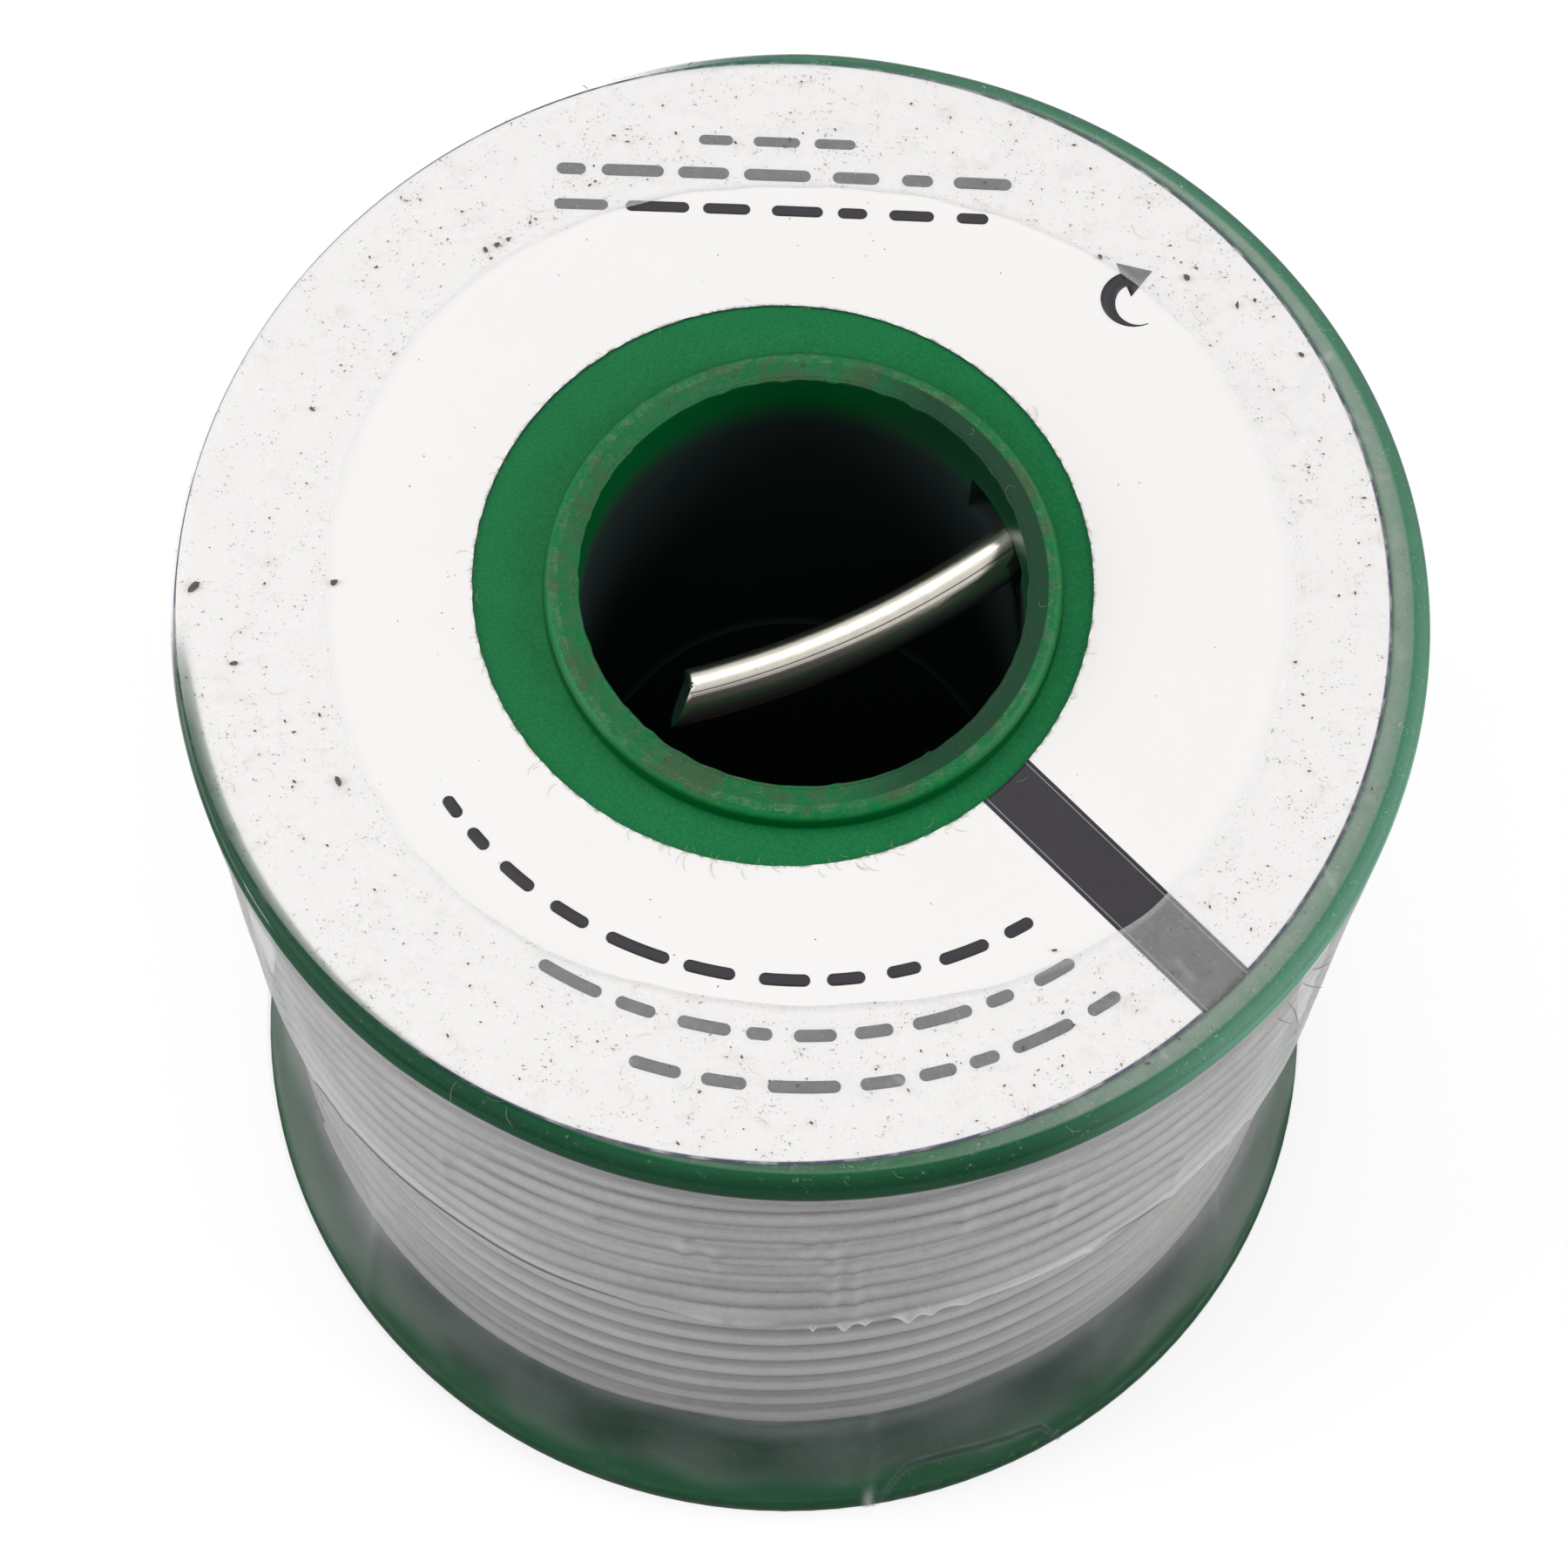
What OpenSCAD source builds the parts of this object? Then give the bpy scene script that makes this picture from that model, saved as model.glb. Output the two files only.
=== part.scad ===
// Small spool of solid solder wire: a two-piece moulded spool, six layers of
// wire with the wire's first end left sticking into the hub, a paper label on
// each flange and two clear shrink films round the whole.
// Millimetres, +Z up along the hub, origin on the hub's lower end face.

/* [Spool] */
// Diameter of each flange
flange_d = 55.7; // [54.8:0.1:62]
// Thickness of a flange at its rim
rim_t = 1.2; // [0.9:0.1:1.6]
// Rounding of the two edges of a rim
rim_edge = 0.4; // [0.2:0.05:0.4]
// Thickness of a flange where it meets the hub
hub_t = 1.7; // [1.5:0.1:2.6]
// Distance between the inner faces of the two flanges
wind_w = 50.4; // [46:0.2:64]
// Outer diameter of the hub barrel, which also stands out past each flange
barrel_d = 23; // [22.4:0.1:23.6]
// Diameter of the bore through the hub
bore_d = 20; // [19:0.1:20.4]
// How far the hub's end ring stands out past a flange
hub_rise = 1; // [0.6:0.1:2.5]
// Chamfer round the outer edge of a hub end ring
hub_edge = 0.3; // [0.1:0.05:0.5]

/* [Weld between the halves] */
// Height of the outside seam above the lower end of the hub
seam_h = 26; // [18:0.5:34]
// Length of the spigot inside the seam
lap_l = 4; // [2:0.5:8]
// Wall of the spigot
lap_wall = 0.7; // [0.5:0.05:0.8]
// Radial gap round the spigot, which the weld fills
weld_gap = 0.03; // [0.02:0.01:0.08]
// Width of the groove above the spigot that catches the weld flash
trap_w = 1.2; // [0.8:0.1:2]

/* [Start window] */
// Room beside the tail in the window that it comes through
window_side = 0.5; // [0.3:0.1:2]
// Room under the tail in that window
window_under = 0.4; // [0.2:0.1:2]

/* [Solder wire] */
// Diameter of the wire
wire_d = 2.4; // [2:0.02:2.46]
// Gap between one turn and the next in a layer
turn_gap = 0.12; // [0.06:0.01:0.5]
// Gap between one layer and what lies under it
lay_gap = 0.02; // [0.01:0.01:0.06]
// Bare height that the outer layer leaves above the lower flange
outer_bare = 7; // [2:0.5:20]
// Angle, seen from above, at which the outer layer steps up to its next turn
cross_a = -95; // [-150:5:-40]
// Angle over which it takes that step
cross_span = 80; // [40:5:140]
// Angle at which the first turn takes over from the tail
join_a = 42; // [32:1:52]
// Bend radius of the tail where it passes through the window
bend_r = 3.4; // [3:0.1:3.8]
// How far the tail turns in that bend
bend_a = 91.5; // [88:0.5:98]
// Radius of the tail's slight bow across the bore
bow_r = 40; // [34:1:80]
// Length of the tail's bow, measured along the wire
bow_l = 16.4; // [8:0.1:17]
// Slant of the cut across the tail's end
cut_a = 20; // [0:1:40]

/* [Labels] */
// How much smaller a label is across than the flange
label_margin = 1.9; // [1.8:0.1:8]
// Diameter of the hole in a label
label_hole_d = 27.6; // [26.2:0.1:32]
// Thickness of the label paper
label_t = 0.1; // [0.08:0.01:0.2]
// How far a label sits off centre to the left
label_left = 0.8; // [0:0.05:0.8]
// How far a label sits off centre to the back
label_back = 0.4; // [0:0.05:0.4]
// How far the hole sits off centre to the left
hole_left = 0.9; // [0:0.1:1]
// How far the hole sits off centre to the back
hole_back = 0.5; // [0:0.1:0.8]

/* [Shrink films] */
// Thickness of the clear film
film_t = 0.1; // [0.06:0.01:0.2]
// Gap between a film and what it lies on
film_gap = 0.02; // [0.01:0.01:0.06]
// Width of film that lies over the edge of each end face
film_lap = 6.9; // [3:0.1:10]
// Length of the upper film's skirt below the upper flange
skirt_l = 22.8; // [14:0.2:34]
// Gap between the skirt's lower edge and the outer layer
skirt_room = 0.8; // [0.3:0.05:1]
// Height over which the lower film slopes from the rim to the wire
slope_h = 9.6; // [6:0.2:16]
// How far the lower film reaches up under the skirt
tuck_l = 5; // [2:0.5:12]

/* [Hidden] */
$fn = 96;

spool_green = [0.10, 0.40, 0.24];
solder_grey = [0.76, 0.76, 0.75];
paper_white = [0.95, 0.95, 0.94];
film_clear = [0.86, 0.88, 0.88, 0.35];
past = 1;

// Spool
flange_r = flange_d / 2;
rim_c = flange_r - rim_edge;
barrel_r = barrel_d / 2;
bore_r = bore_d / 2;
inner_z = hub_rise + hub_t;
spool_h = 2 * inner_z + wind_w;
upper_inner_z = spool_h - inner_z;
lap_r = bore_r + lap_wall;
upper_h = spool_h - seam_h;

// Wire
wire_r = wire_d / 2;
wire_fn = 48;
wire_pitch = wire_d + turn_gap;
wire_room = wind_w - wire_d - 2 * lay_gap;
turns = floor(wire_room / wire_pitch) + 1;
first_z = upper_inner_z - lay_gap - wire_r;
layers = 6;
function layer_r(n) = barrel_r + lay_gap + wire_r + (n - 1) * (wire_d + lay_gap);

// Outer layer: flat-sided stretches, set out until their middles clear layer 5
coil_sides = 8;
stations = 36;
flat_r = wire_r * cos(180 / coil_sides);
coil_r = (layer_r(layers) - wire_r) / cos(180 / stations) + flat_r;
wound_r = coil_r + flat_r;
coil_steps = floor((wire_room - outer_bare) / wire_pitch);
coil_z = first_z - coil_steps * wire_pitch;
// Level wire, in degrees, before the coil's first step and after its last one
lead_in = 60;
run_out = 200;

// Tail: a tight bend through the window, then a slight bow across the bore
tail_sides = 16;
bow_steps = 10;
bend_steps = 12;
bend_c = layer_r(1) - bend_r;
bow_a = bow_l / bow_r * 180 / PI;
// Where the tail's outer side comes through the bore's wall, from join_a
side_r = bend_r + wire_r;
side_a = acos((bend_c ^ 2 + bore_r ^ 2 - side_r ^ 2) / (2 * bend_c * bore_r));
window_a = side_a + window_side / bore_r * 180 / PI;
window_h = lay_gap + wire_d + window_under;

// Labels and films, in heights above a flange's inner face
lift = label_t + 2 * film_gap;
label_r = (flange_d - label_margin) / 2;
cone_slope = (hub_t - rim_t) / (rim_c - barrel_r);
function face_h(r) = rim_t + (rim_c - r) * cone_slope;
film_open_r = flange_r - film_lap;
film_rim = rim_edge + lift;
film_r = rim_c + film_rim;
rim_step = 10;
hug_r = wound_r + film_gap;
edge_r = wound_r + skirt_room;
slope_a = atan((film_r - hug_r) / slope_h);
skirt_a = atan((film_r - edge_r) / skirt_l);

// Outline of one end of the spool, up to its inner face: hub ring, coned
// flange, and a rim whose two edges are rounded
module spool_end() {
    polygon([[bore_r, 0],
             [barrel_r - hub_edge, 0],
             [barrel_r, hub_edge],
             [barrel_r, hub_rise],
             [rim_c, inner_z - rim_t],
             [flange_r, inner_z - rim_t + rim_edge],
             [flange_r, inner_z - rim_edge],
             [rim_c, inner_z],
             [bore_r, inner_z]]);
    for (h = [rim_edge, rim_t - rim_edge])
        translate([rim_c, inner_z - h])
            circle(r = rim_edge);
}

// Lower half: its barrel ends in a thin spigot
module lower_spool_half() {
    color(spool_green)
    rotate_extrude() {
        spool_end();
        polygon([[bore_r, inner_z - rim_t / 2],
                 [barrel_r, inner_z - rim_t / 2],
                 [barrel_r, seam_h],
                 [lap_r, seam_h],
                 [lap_r, seam_h + lap_l],
                 [bore_r, seam_h + lap_l]]);
    }
}

// Upper half: its barrel has the socket for the spigot, the flash groove and
// the window where the wire starts, right under the flange
module upper_spool_half() {
    socket_r = lap_r + weld_gap;
    socket_h = upper_h - lap_l - trap_w;
    color(spool_green)
    difference() {
        translate([0, 0, spool_h])
        mirror([0, 0, 1])
        rotate_extrude() {
            spool_end();
            polygon([[bore_r, inner_z - rim_t / 2],
                     [barrel_r, inner_z - rim_t / 2],
                     [barrel_r, upper_h],
                     [socket_r, upper_h],
                     [socket_r, socket_h],
                     [bore_r, socket_h]]);
        }
        rotate(join_a - window_a)
        rotate_extrude(angle = window_a)
        translate([bore_r - past, upper_inner_z - window_h])
            square([barrel_r - bore_r + 2 * past, window_h]);
    }
}

// Round wire swept along its stations. A station is [x, y, z, angle]: the
// wire's middle and the level direction square to the wire there. A slant
// above 0 cuts the first end so that the wire's underside reaches furthest.
module swept_wire(path, sides, slant) {
    last = len(path) - 1;
    section = [for (j = [0 : sides - 1]) 180 / sides + 360 * j / sides];
    points = [for (k = [0 : last]) for (s = section)
        let (p = path[k],
             out = wire_r * cos(s),
             along = k == 0 ? wire_r * sin(s) * tan(slant) : 0)
        [p[0] + out * cos(p[3]) - along * sin(p[3]),
         p[1] + out * sin(p[3]) + along * cos(p[3]),
         p[2] + wire_r * sin(s)]];
    skin = [for (k = [0 : last - 1]) for (j = [0 : sides - 1])
        let (a = k * sides + j,
             b = k * sides + (j + 1) % sides)
        each [[a, b, a + sides], [b, b + sides, a + sides]]];
    first_end = [for (j = [sides - 1 : -1 : 0]) j];
    last_end = [for (j = [0 : sides - 1]) last * sides + j];
    polyhedron(points, concat(skin, [first_end, last_end]));
}

// A station on a level arc round a centre on the line at join_a
function arc_station(c, r, a) = [c[0] + r * cos(a), c[1] + r * sin(a), 0, a];

// First end of the wire, left across the bore and cut off at a slant
module solder_tail() {
    bend_at = [bend_c, 0];
    bow_at = bend_at + (bend_r - bow_r) * [cos(bend_a), -sin(bend_a)];
    bow = [for (i = [0 : bow_steps])
        arc_station(bow_at, bow_r, -bend_a - bow_a * (1 - i / bow_steps))];
    bend = [for (i = [1 : bend_steps])
        arc_station(bend_at, bend_r, -bend_a * (1 - i / bend_steps))];
    color(solder_grey)
    translate([0, 0, first_z])
    rotate(join_a)
        swept_wire(concat(bow, bend), tail_sides, cut_a);
}

// Turns of one inner layer, each lying level. The first turn of layer 1 starts
// where the tail ends and stops short of the window.
module wire_turns(n) {
    for (i = [0 : turns - 1])
        translate([0, 0, first_z - i * wire_pitch])
        rotate(join_a)
        rotate_extrude(angle = n == 1 && i == 0 ? 360 - window_a : 360)
        translate([layer_r(n), 0])
            circle(r = wire_r, $fn = wire_fn);
}

module solder_layer_1() { color(solder_grey) wire_turns(1); }
module solder_layer_2() { color(solder_grey) wire_turns(2); }
module solder_layer_3() { color(solder_grey) wire_turns(3); }
module solder_layer_4() { color(solder_grey) wire_turns(4); }
module solder_layer_5() { color(solder_grey) wire_turns(5); }

// How many turns the outer layer has climbed by an angle: level most of the
// way round, with one smooth step in each turn
function climb(a) =
    let (turn = floor((a - cross_a) / 360 + 0.5),
         t = max(0, min(1, (a - cross_a - 360 * turn) / cross_span + 0.5)))
    turn + t * t * (3 - 2 * t);

// Outer layer: one coil that starts clear of the lower flange and ends under
// the upper one
module solder_layer_6() {
    sweep = 360 * (coil_steps - 1) + lead_in + run_out;
    count = round(sweep / 360 * stations);
    path = [for (k = [0 : count])
        let (a = cross_a - lead_in + 360 * k / stations)
        [coil_r * cos(a), coil_r * sin(a), coil_z + wire_pitch * climb(a), a]];
    color(solder_grey)
        swept_wire(path, coil_sides, 0);
}

// A thin revolved sheet. Each step is [radius, height, normal angle] on its
// inner side, and its outer side lies one thickness away along the normal.
module revolved_sheet(steps, thick) {
    inner = [for (p = steps) [p[0], p[1]]];
    outer = [for (i = [len(steps) - 1 : -1 : 0]) let (p = steps[i])
        [p[0] + thick * cos(p[2]), p[1] + thick * sin(p[2])]];
    rotate_extrude()
        polygon(concat(inner, outer));
}

// Steps of a sheet that lies a gap above a flange's outer face, from one
// radius out and then round the rim's outer edge
function over_rim(from_r, gap) = concat(
    [[from_r, face_h(from_r) + gap, 90],
     [rim_c, rim_t + gap, 90]],
    [for (a = [90 - rim_step : -rim_step : 0])
        [rim_c + (rim_edge + gap) * cos(a),
         rim_t - rim_edge + (rim_edge + gap) * sin(a), a]]);

// Steps of a film down the rim's side and round its inner edge by an angle
function under_rim(turn) =
    [for (a = [0, -turn])
        [rim_c + film_rim * cos(a), rim_edge + film_rim * sin(a), a]];

// Paper ring on a flange, a little off centre, so that its left edge is
// pressed down round the rim
module label_sheet() {
    intersection() {
        revolved_sheet(over_rim(barrel_r, film_gap), label_t);
        difference() {
            translate([-label_left, label_back, 0])
                cylinder(h = 2 * hub_t, r = label_r);
            translate([-hole_left, hole_back, -past])
                cylinder(h = 2 * hub_t + 2 * past, r = label_hole_d / 2);
        }
    }
}

module upper_label() {
    color(paper_white)
    translate([0, 0, upper_inner_z])
        label_sheet();
}

module lower_label() {
    color(paper_white)
    translate([0, 0, inner_z])
    mirror([0, 0, 1])
        label_sheet();
}

// Upper film: its skirt hangs almost straight down from the rim
module upper_shrink_film() {
    skirt_end = [[edge_r, -skirt_l, -skirt_a]];
    color(film_clear)
    translate([0, 0, upper_inner_z])
        revolved_sheet(concat(over_rim(film_open_r, lift), under_rim(skirt_a), skirt_end),
                       film_t);
}

// Lower film: it slopes in from the rim and then lies on the wire
module lower_shrink_film() {
    top_h = upper_inner_z - skirt_l + tuck_l - inner_z;
    on_wire = [[hug_r, -slope_h, 0],
               [hug_r, -top_h, 0]];
    color(film_clear)
    translate([0, 0, inner_z])
    mirror([0, 0, 1])
        revolved_sheet(concat(over_rim(film_open_r, lift), under_rim(slope_a), on_wire),
                       film_t);
}

upper_spool_half();
lower_spool_half();
solder_tail();
solder_layer_1();
solder_layer_2();
solder_layer_3();
solder_layer_4();
solder_layer_5();
solder_layer_6();
upper_label();
lower_label();
upper_shrink_film();
lower_shrink_film();
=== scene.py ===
"""Looks of a small spool of solder wire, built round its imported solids.

Metres, +Z up along the bore. Angles are seen from above, in degrees, with 0 along +X.
"""
import math
import random

import bmesh
import bpy
import numpy as np
from mathutils import Matrix, Vector

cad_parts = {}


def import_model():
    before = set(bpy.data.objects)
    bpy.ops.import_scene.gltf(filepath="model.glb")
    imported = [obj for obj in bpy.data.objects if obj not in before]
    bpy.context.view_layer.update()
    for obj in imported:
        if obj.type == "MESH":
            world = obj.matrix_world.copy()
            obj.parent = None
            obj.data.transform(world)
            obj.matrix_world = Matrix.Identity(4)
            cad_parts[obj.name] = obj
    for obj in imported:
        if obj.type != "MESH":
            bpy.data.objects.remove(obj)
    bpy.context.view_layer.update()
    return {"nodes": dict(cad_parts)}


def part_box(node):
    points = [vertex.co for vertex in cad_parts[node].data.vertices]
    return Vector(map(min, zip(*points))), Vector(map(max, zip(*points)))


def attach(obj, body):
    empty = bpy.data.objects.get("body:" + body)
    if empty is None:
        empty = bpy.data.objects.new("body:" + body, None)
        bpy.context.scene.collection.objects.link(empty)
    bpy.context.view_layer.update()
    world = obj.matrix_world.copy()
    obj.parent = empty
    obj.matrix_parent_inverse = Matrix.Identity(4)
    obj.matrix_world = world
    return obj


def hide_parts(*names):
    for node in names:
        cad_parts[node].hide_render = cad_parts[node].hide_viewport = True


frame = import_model()

MM = 0.001
SEED = 11

# ---------------------------------------------------------------- sizes
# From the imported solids
SPOOL_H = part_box("upper_spool_half")[1].z
FLANGE_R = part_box("upper_spool_half")[1].x
# The construction's own values: the spool, whose rims' round edges begin at RIM_C
BORE_R = 10 * MM
BARREL_R = 11.5 * MM
HUB_RISE = 1 * MM
HUB_T = 1.7 * MM
RIM_T = 1.2 * MM
RIM_EDGE = 0.4 * MM
INNER_Z = HUB_RISE + HUB_T
UPPER_Z = SPOOL_H - INNER_Z
MID_Z = SPOOL_H / 2
RIM_C = FLANGE_R - RIM_EDGE
FACE_SLOPE = (HUB_T - RIM_T) / (RIM_C - BARREL_R)

# The outer layer of wire, which climbs a turn over CROSS_SPAN degrees round CROSS_A
WIRE_R = 1.2 * MM
WIRE_PITCH = 2.52 * MM
FIRST_Z = UPPER_Z - 0.02 * MM - WIRE_R
COIL_R = 24.81 * MM
COIL_STEPS = 16
COIL_Z = FIRST_Z - COIL_STEPS * WIRE_PITCH
WOUND_R = COIL_R + WIRE_R
CROSS_A = -95
CROSS_SPAN = 80
LEAD_IN = 60
RUN_OUT = 200

# The wire's start: where it joins the wall, its bend, its bow, its cut, and the fine
# groove drawn along it
JOIN_A = 42
BEND_C = 9.32 * MM
BEND_R = 3.4 * MM
BEND_A = 91.5
BOW_R = 40 * MM
BOW_L = 16.4 * MM
CUT_A = 20
CUT_YAW = 29
DRAW_LINE_A = 71
DRAW_LINE_W = 6
DRAW_LINE_D = 0.02 * MM
AROUND_SCALE = 1 / 30

# The labels, which lie a little to the left and back, and their print
LABEL_R = 27.1 * MM
LABEL_HOLE_R = 13.8 * MM
LABEL_LEFT = 0.9 * MM
LABEL_BACK = 0.30 * MM
HOLE_BACK = 0.45 * MM
LABEL_T = 0.1 * MM
LABEL_GAP = 0.02 * MM
INK_T = 0.006 * MM

# The films
FILM_GAP = 0.04 * MM
FILM_T = 0.06 * MM
FILM_OPEN_R = 21.1 * MM
SKIRT_Z = 29.9 * MM
FILM_COLS = 1080
FILM_ANGLES = (np.arange(FILM_COLS) * 360 / FILM_COLS)[None, :]
UP = np.array((0, 0, 1.0))


# ---------------------------------------------------------------- numbers along a surface
def smooth(x, low, high):
    """0 below low, 1 above high, and a soft step between."""
    t = np.clip((np.asarray(x, float) - low) / (high - low), 0, 1)
    return t * t * (3 - 2 * t)


def turned(a, b):
    """Difference between two angles in degrees, from -180 to 180."""
    return (np.asarray(a, float) - b + 180) % 360 - 180


def bump(x, middle, width):
    """A soft hill of height 1."""
    return np.exp(-(((x - middle) / width) ** 2))


def between(x, low, low_end, high, high_end):
    """1 from low_end to high, with soft steps down to 0 at low and at high_end."""
    return smooth(x, low, low_end) * (1 - smooth(x, high, high_end))


def round_axis(r, a, z):
    """Places at a radius, an angle and a height round the spool's axis."""
    a = np.radians(a)
    return np.stack(np.broadcast_arrays(r * np.cos(a), r * np.sin(a), z), -1)


def uneven(round_deg, along, seed, waves=9, turns=(3, 14), per_mm=(0.05, 0.4)):
    """Seeded unevenness from about -1 to 1 that closes after a full turn."""
    draw = random.Random(seed)
    total = np.zeros(np.broadcast(round_deg, along).shape)
    for _ in range(waves):
        n = draw.randint(*turns)
        k = draw.uniform(*per_mm) * draw.choice((-1, 1))
        shift = draw.uniform(0, 2 * math.pi)
        total += np.sin(np.radians(round_deg) * n + along / MM * k * 2 * math.pi + shift)
    return total / math.sqrt(waves)


def face_h(r):
    """Height of a flange's outer side over its inner side."""
    return RIM_T + np.maximum(RIM_C - np.asarray(r, float), 0) * FACE_SLOPE


def laid_down(reach, lift):
    """(radius, height over the inner side) of a sheet that lies lift above a flange,
    at a distance from the middle that is measured along the sheet. Past RIM_C it turns
    round the rim's edge and hangs down its side."""
    past = np.maximum(np.asarray(reach, float) - RIM_C, 0)
    bend_r = RIM_EDGE + lift
    bend = np.minimum(past / bend_r, math.pi / 2)
    hanging = past - bend * bend_r
    radius = np.minimum(reach, RIM_C) + bend_r * np.sin(bend)
    height = face_h(reach) - RIM_EDGE + bend_r * np.cos(bend) - hanging
    return radius, height


# ---------------------------------------------------------------- meshes
def new_piece(name, points, faces, finishes, face_finish=None, sharp=False):
    """A mesh piece of the object that rides on its one body."""
    mesh = bpy.data.meshes.new(name)
    mesh.from_pydata([tuple(p) for p in np.asarray(points, float)], [], faces)
    for finish in finishes:
        mesh.materials.append(finish)
    if face_finish is not None:
        mesh.polygons.foreach_set("material_index", face_finish)
    mesh.polygons.foreach_set("use_smooth", [not sharp] * len(mesh.polygons))
    shell = bmesh.new()
    shell.from_mesh(mesh)
    bmesh.ops.recalc_face_normals(shell, faces=shell.faces)
    shell.to_mesh(mesh)
    shell.free()
    mesh.update()
    piece = bpy.data.objects.new(name, mesh)
    bpy.context.scene.collection.objects.link(piece)
    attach(piece, "root")
    return piece


def add_value(piece, name, values):
    """One number at each point, for the finish to read."""
    layer = piece.data.attributes.new(name, "FLOAT", "POINT")
    layer.data.foreach_set("value", np.asarray(values, np.float32).ravel())


def closed_sheet(outer, inner, ring):
    """Points and faces of a closed sheet between two grids of points, rows by columns.
    The faces of its two sides come first and those of its edges last."""
    rows, cols = outer.shape[:2]
    points = np.concatenate([outer.reshape(-1, 3), inner.reshape(-1, 3)])
    half, last = rows * cols, (rows - 1) * cols
    spans = cols if ring else cols - 1
    faces = []
    for row in range(0, last, cols):
        for j in range(spans):
            a, b = row + j, row + (j + 1) % cols
            faces.append((a, a + cols, b + cols, b))
            faces.append((half + a, half + b, half + b + cols, half + a + cols))

    def edge(a, b):
        faces.append((a, b, half + b, half + a))

    for j in range(spans):
        k = (j + 1) % cols
        edge(j, k)
        edge(last + k, last + j)
    if not ring:
        for row in range(0, last, cols):
            edge(row + cols, row)
            edge(row + cols - 1, row + 2 * cols - 1)
    return points, faces


def grid_normals(grid):
    """Unit normals of a grid of points, rows by columns, whose columns close in a ring."""
    down = np.gradient(grid, axis=0)
    across = (np.roll(grid, -1, axis=1) - np.roll(grid, 1, axis=1)) / 2
    n = np.cross(down, across)
    return n / np.maximum(np.linalg.norm(n, axis=2, keepdims=True), 1e-12)


def swept(stations, section_of, ends=True):
    """Points and faces of a tube. A station is (middle, side, up), and section_of(k) gives
    the section's points as pairs (towards side, towards up)."""
    points, faces = [], []
    for k, (middle, side, up) in enumerate(stations):
        section = np.asarray(section_of(k))
        points.append(middle + section[:, :1] * side + section[:, 1:] * up)
    sides = len(points[0])
    last = (len(stations) - 1) * sides
    for row in range(0, last, sides):
        for j in range(sides):
            a, b = row + j, row + (j + 1) % sides
            faces.append((a, b, b + sides, a + sides))
    if ends:
        faces.append(tuple(range(sides - 1, -1, -1)))
        faces.append(tuple(range(last, last + sides)))
    return np.concatenate(points), faces


def thread_along(points, radius):
    """Points and faces of a thin thread through the given points."""
    sides = 5
    points = np.asarray(points, float)
    along = np.gradient(points, axis=0)
    along /= np.linalg.norm(along, axis=1, keepdims=True)
    section = round_axis(radius, np.arange(sides) / sides * 360, 0)[:, :2]
    stations = []
    for middle, way in zip(points, along):
        side = np.cross(way, (0.13, 0.21, 0.97))
        side /= np.linalg.norm(side)
        stations.append((middle, side, np.cross(way, side)))
    widths = 0.35 + 0.65 * np.sin(np.linspace(0, 1, len(points)) * math.pi) ** 0.5
    return swept(stations, lambda k: section * widths[k])


def joined(parts):
    """Several (points, faces) as one."""
    points, faces, start = [], [], 0
    for part_points, part_faces in parts:
        points.append(np.asarray(part_points, float))
        faces += [tuple(start + i for i in face) for face in part_faces]
        start += len(part_points)
    return np.concatenate(points), faces


# ---------------------------------------------------------------- shader sums
class Shade:
    """A shader node's output. Sums on it add Math nodes."""

    def __init__(self, tree, socket):
        self.tree = tree
        self.socket = socket

    def beside(self, output):
        """Another output of the same node."""
        return Shade(self.tree, self.socket.node.outputs[output])

    def sum(self, operation, *others):
        """A Math node's result with this as its first input."""
        inputs = dict(enumerate((self,) + others))
        return make_node(self.tree, "ShaderNodeMath", inputs, operation=operation)

    def __add__(self, other):
        return self.sum("ADD", other)

    __radd__ = __add__

    def __mul__(self, other):
        return self.sum("MULTIPLY", other)

    __rmul__ = __mul__

    def __sub__(self, other):
        return self.sum("SUBTRACT", other)

    def __rsub__(self, other):
        return (self * -1).sum("ADD", other)

    def __pow__(self, other):
        return self.sum("POWER", other)

    def step(self, low, high):
        """0 below low, 1 above high, and a soft step between. low may be the larger."""
        inputs = {"Value": self, "From Min": low, "From Max": high}
        return make_node(self.tree, "ShaderNodeMapRange", inputs,
                         interpolation_type="SMOOTHSTEP")


def make_node(tree, kind, inputs=None, output=0, **settings):
    """Adds a node: its settings first, then its inputs."""
    made = tree.nodes.new(kind)
    for name, value in settings.items():
        setattr(made, name, value)
    for name, value in (inputs or {}).items():
        if isinstance(value, Shade):
            tree.links.new(value.socket, made.inputs[name])
        else:
            made.inputs[name].default_value = value
    return Shade(tree, made.outputs[output]) if made.outputs else None


def bare_tree(owner):
    """The node tree of a material or a world, emptied."""
    owner.use_nodes = True
    owner.node_tree.nodes.clear()
    return owner.node_tree


def rgb(red, green, blue):
    """A screen colour from 0 to 255 as the linear colour that a shader takes."""
    linear = []
    for value in (red, green, blue):
        v = value / 255
        linear.append(v / 12.92 if v <= 0.04045 else ((v + 0.055) / 1.055) ** 2.4)
    return (*linear, 1)


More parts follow.
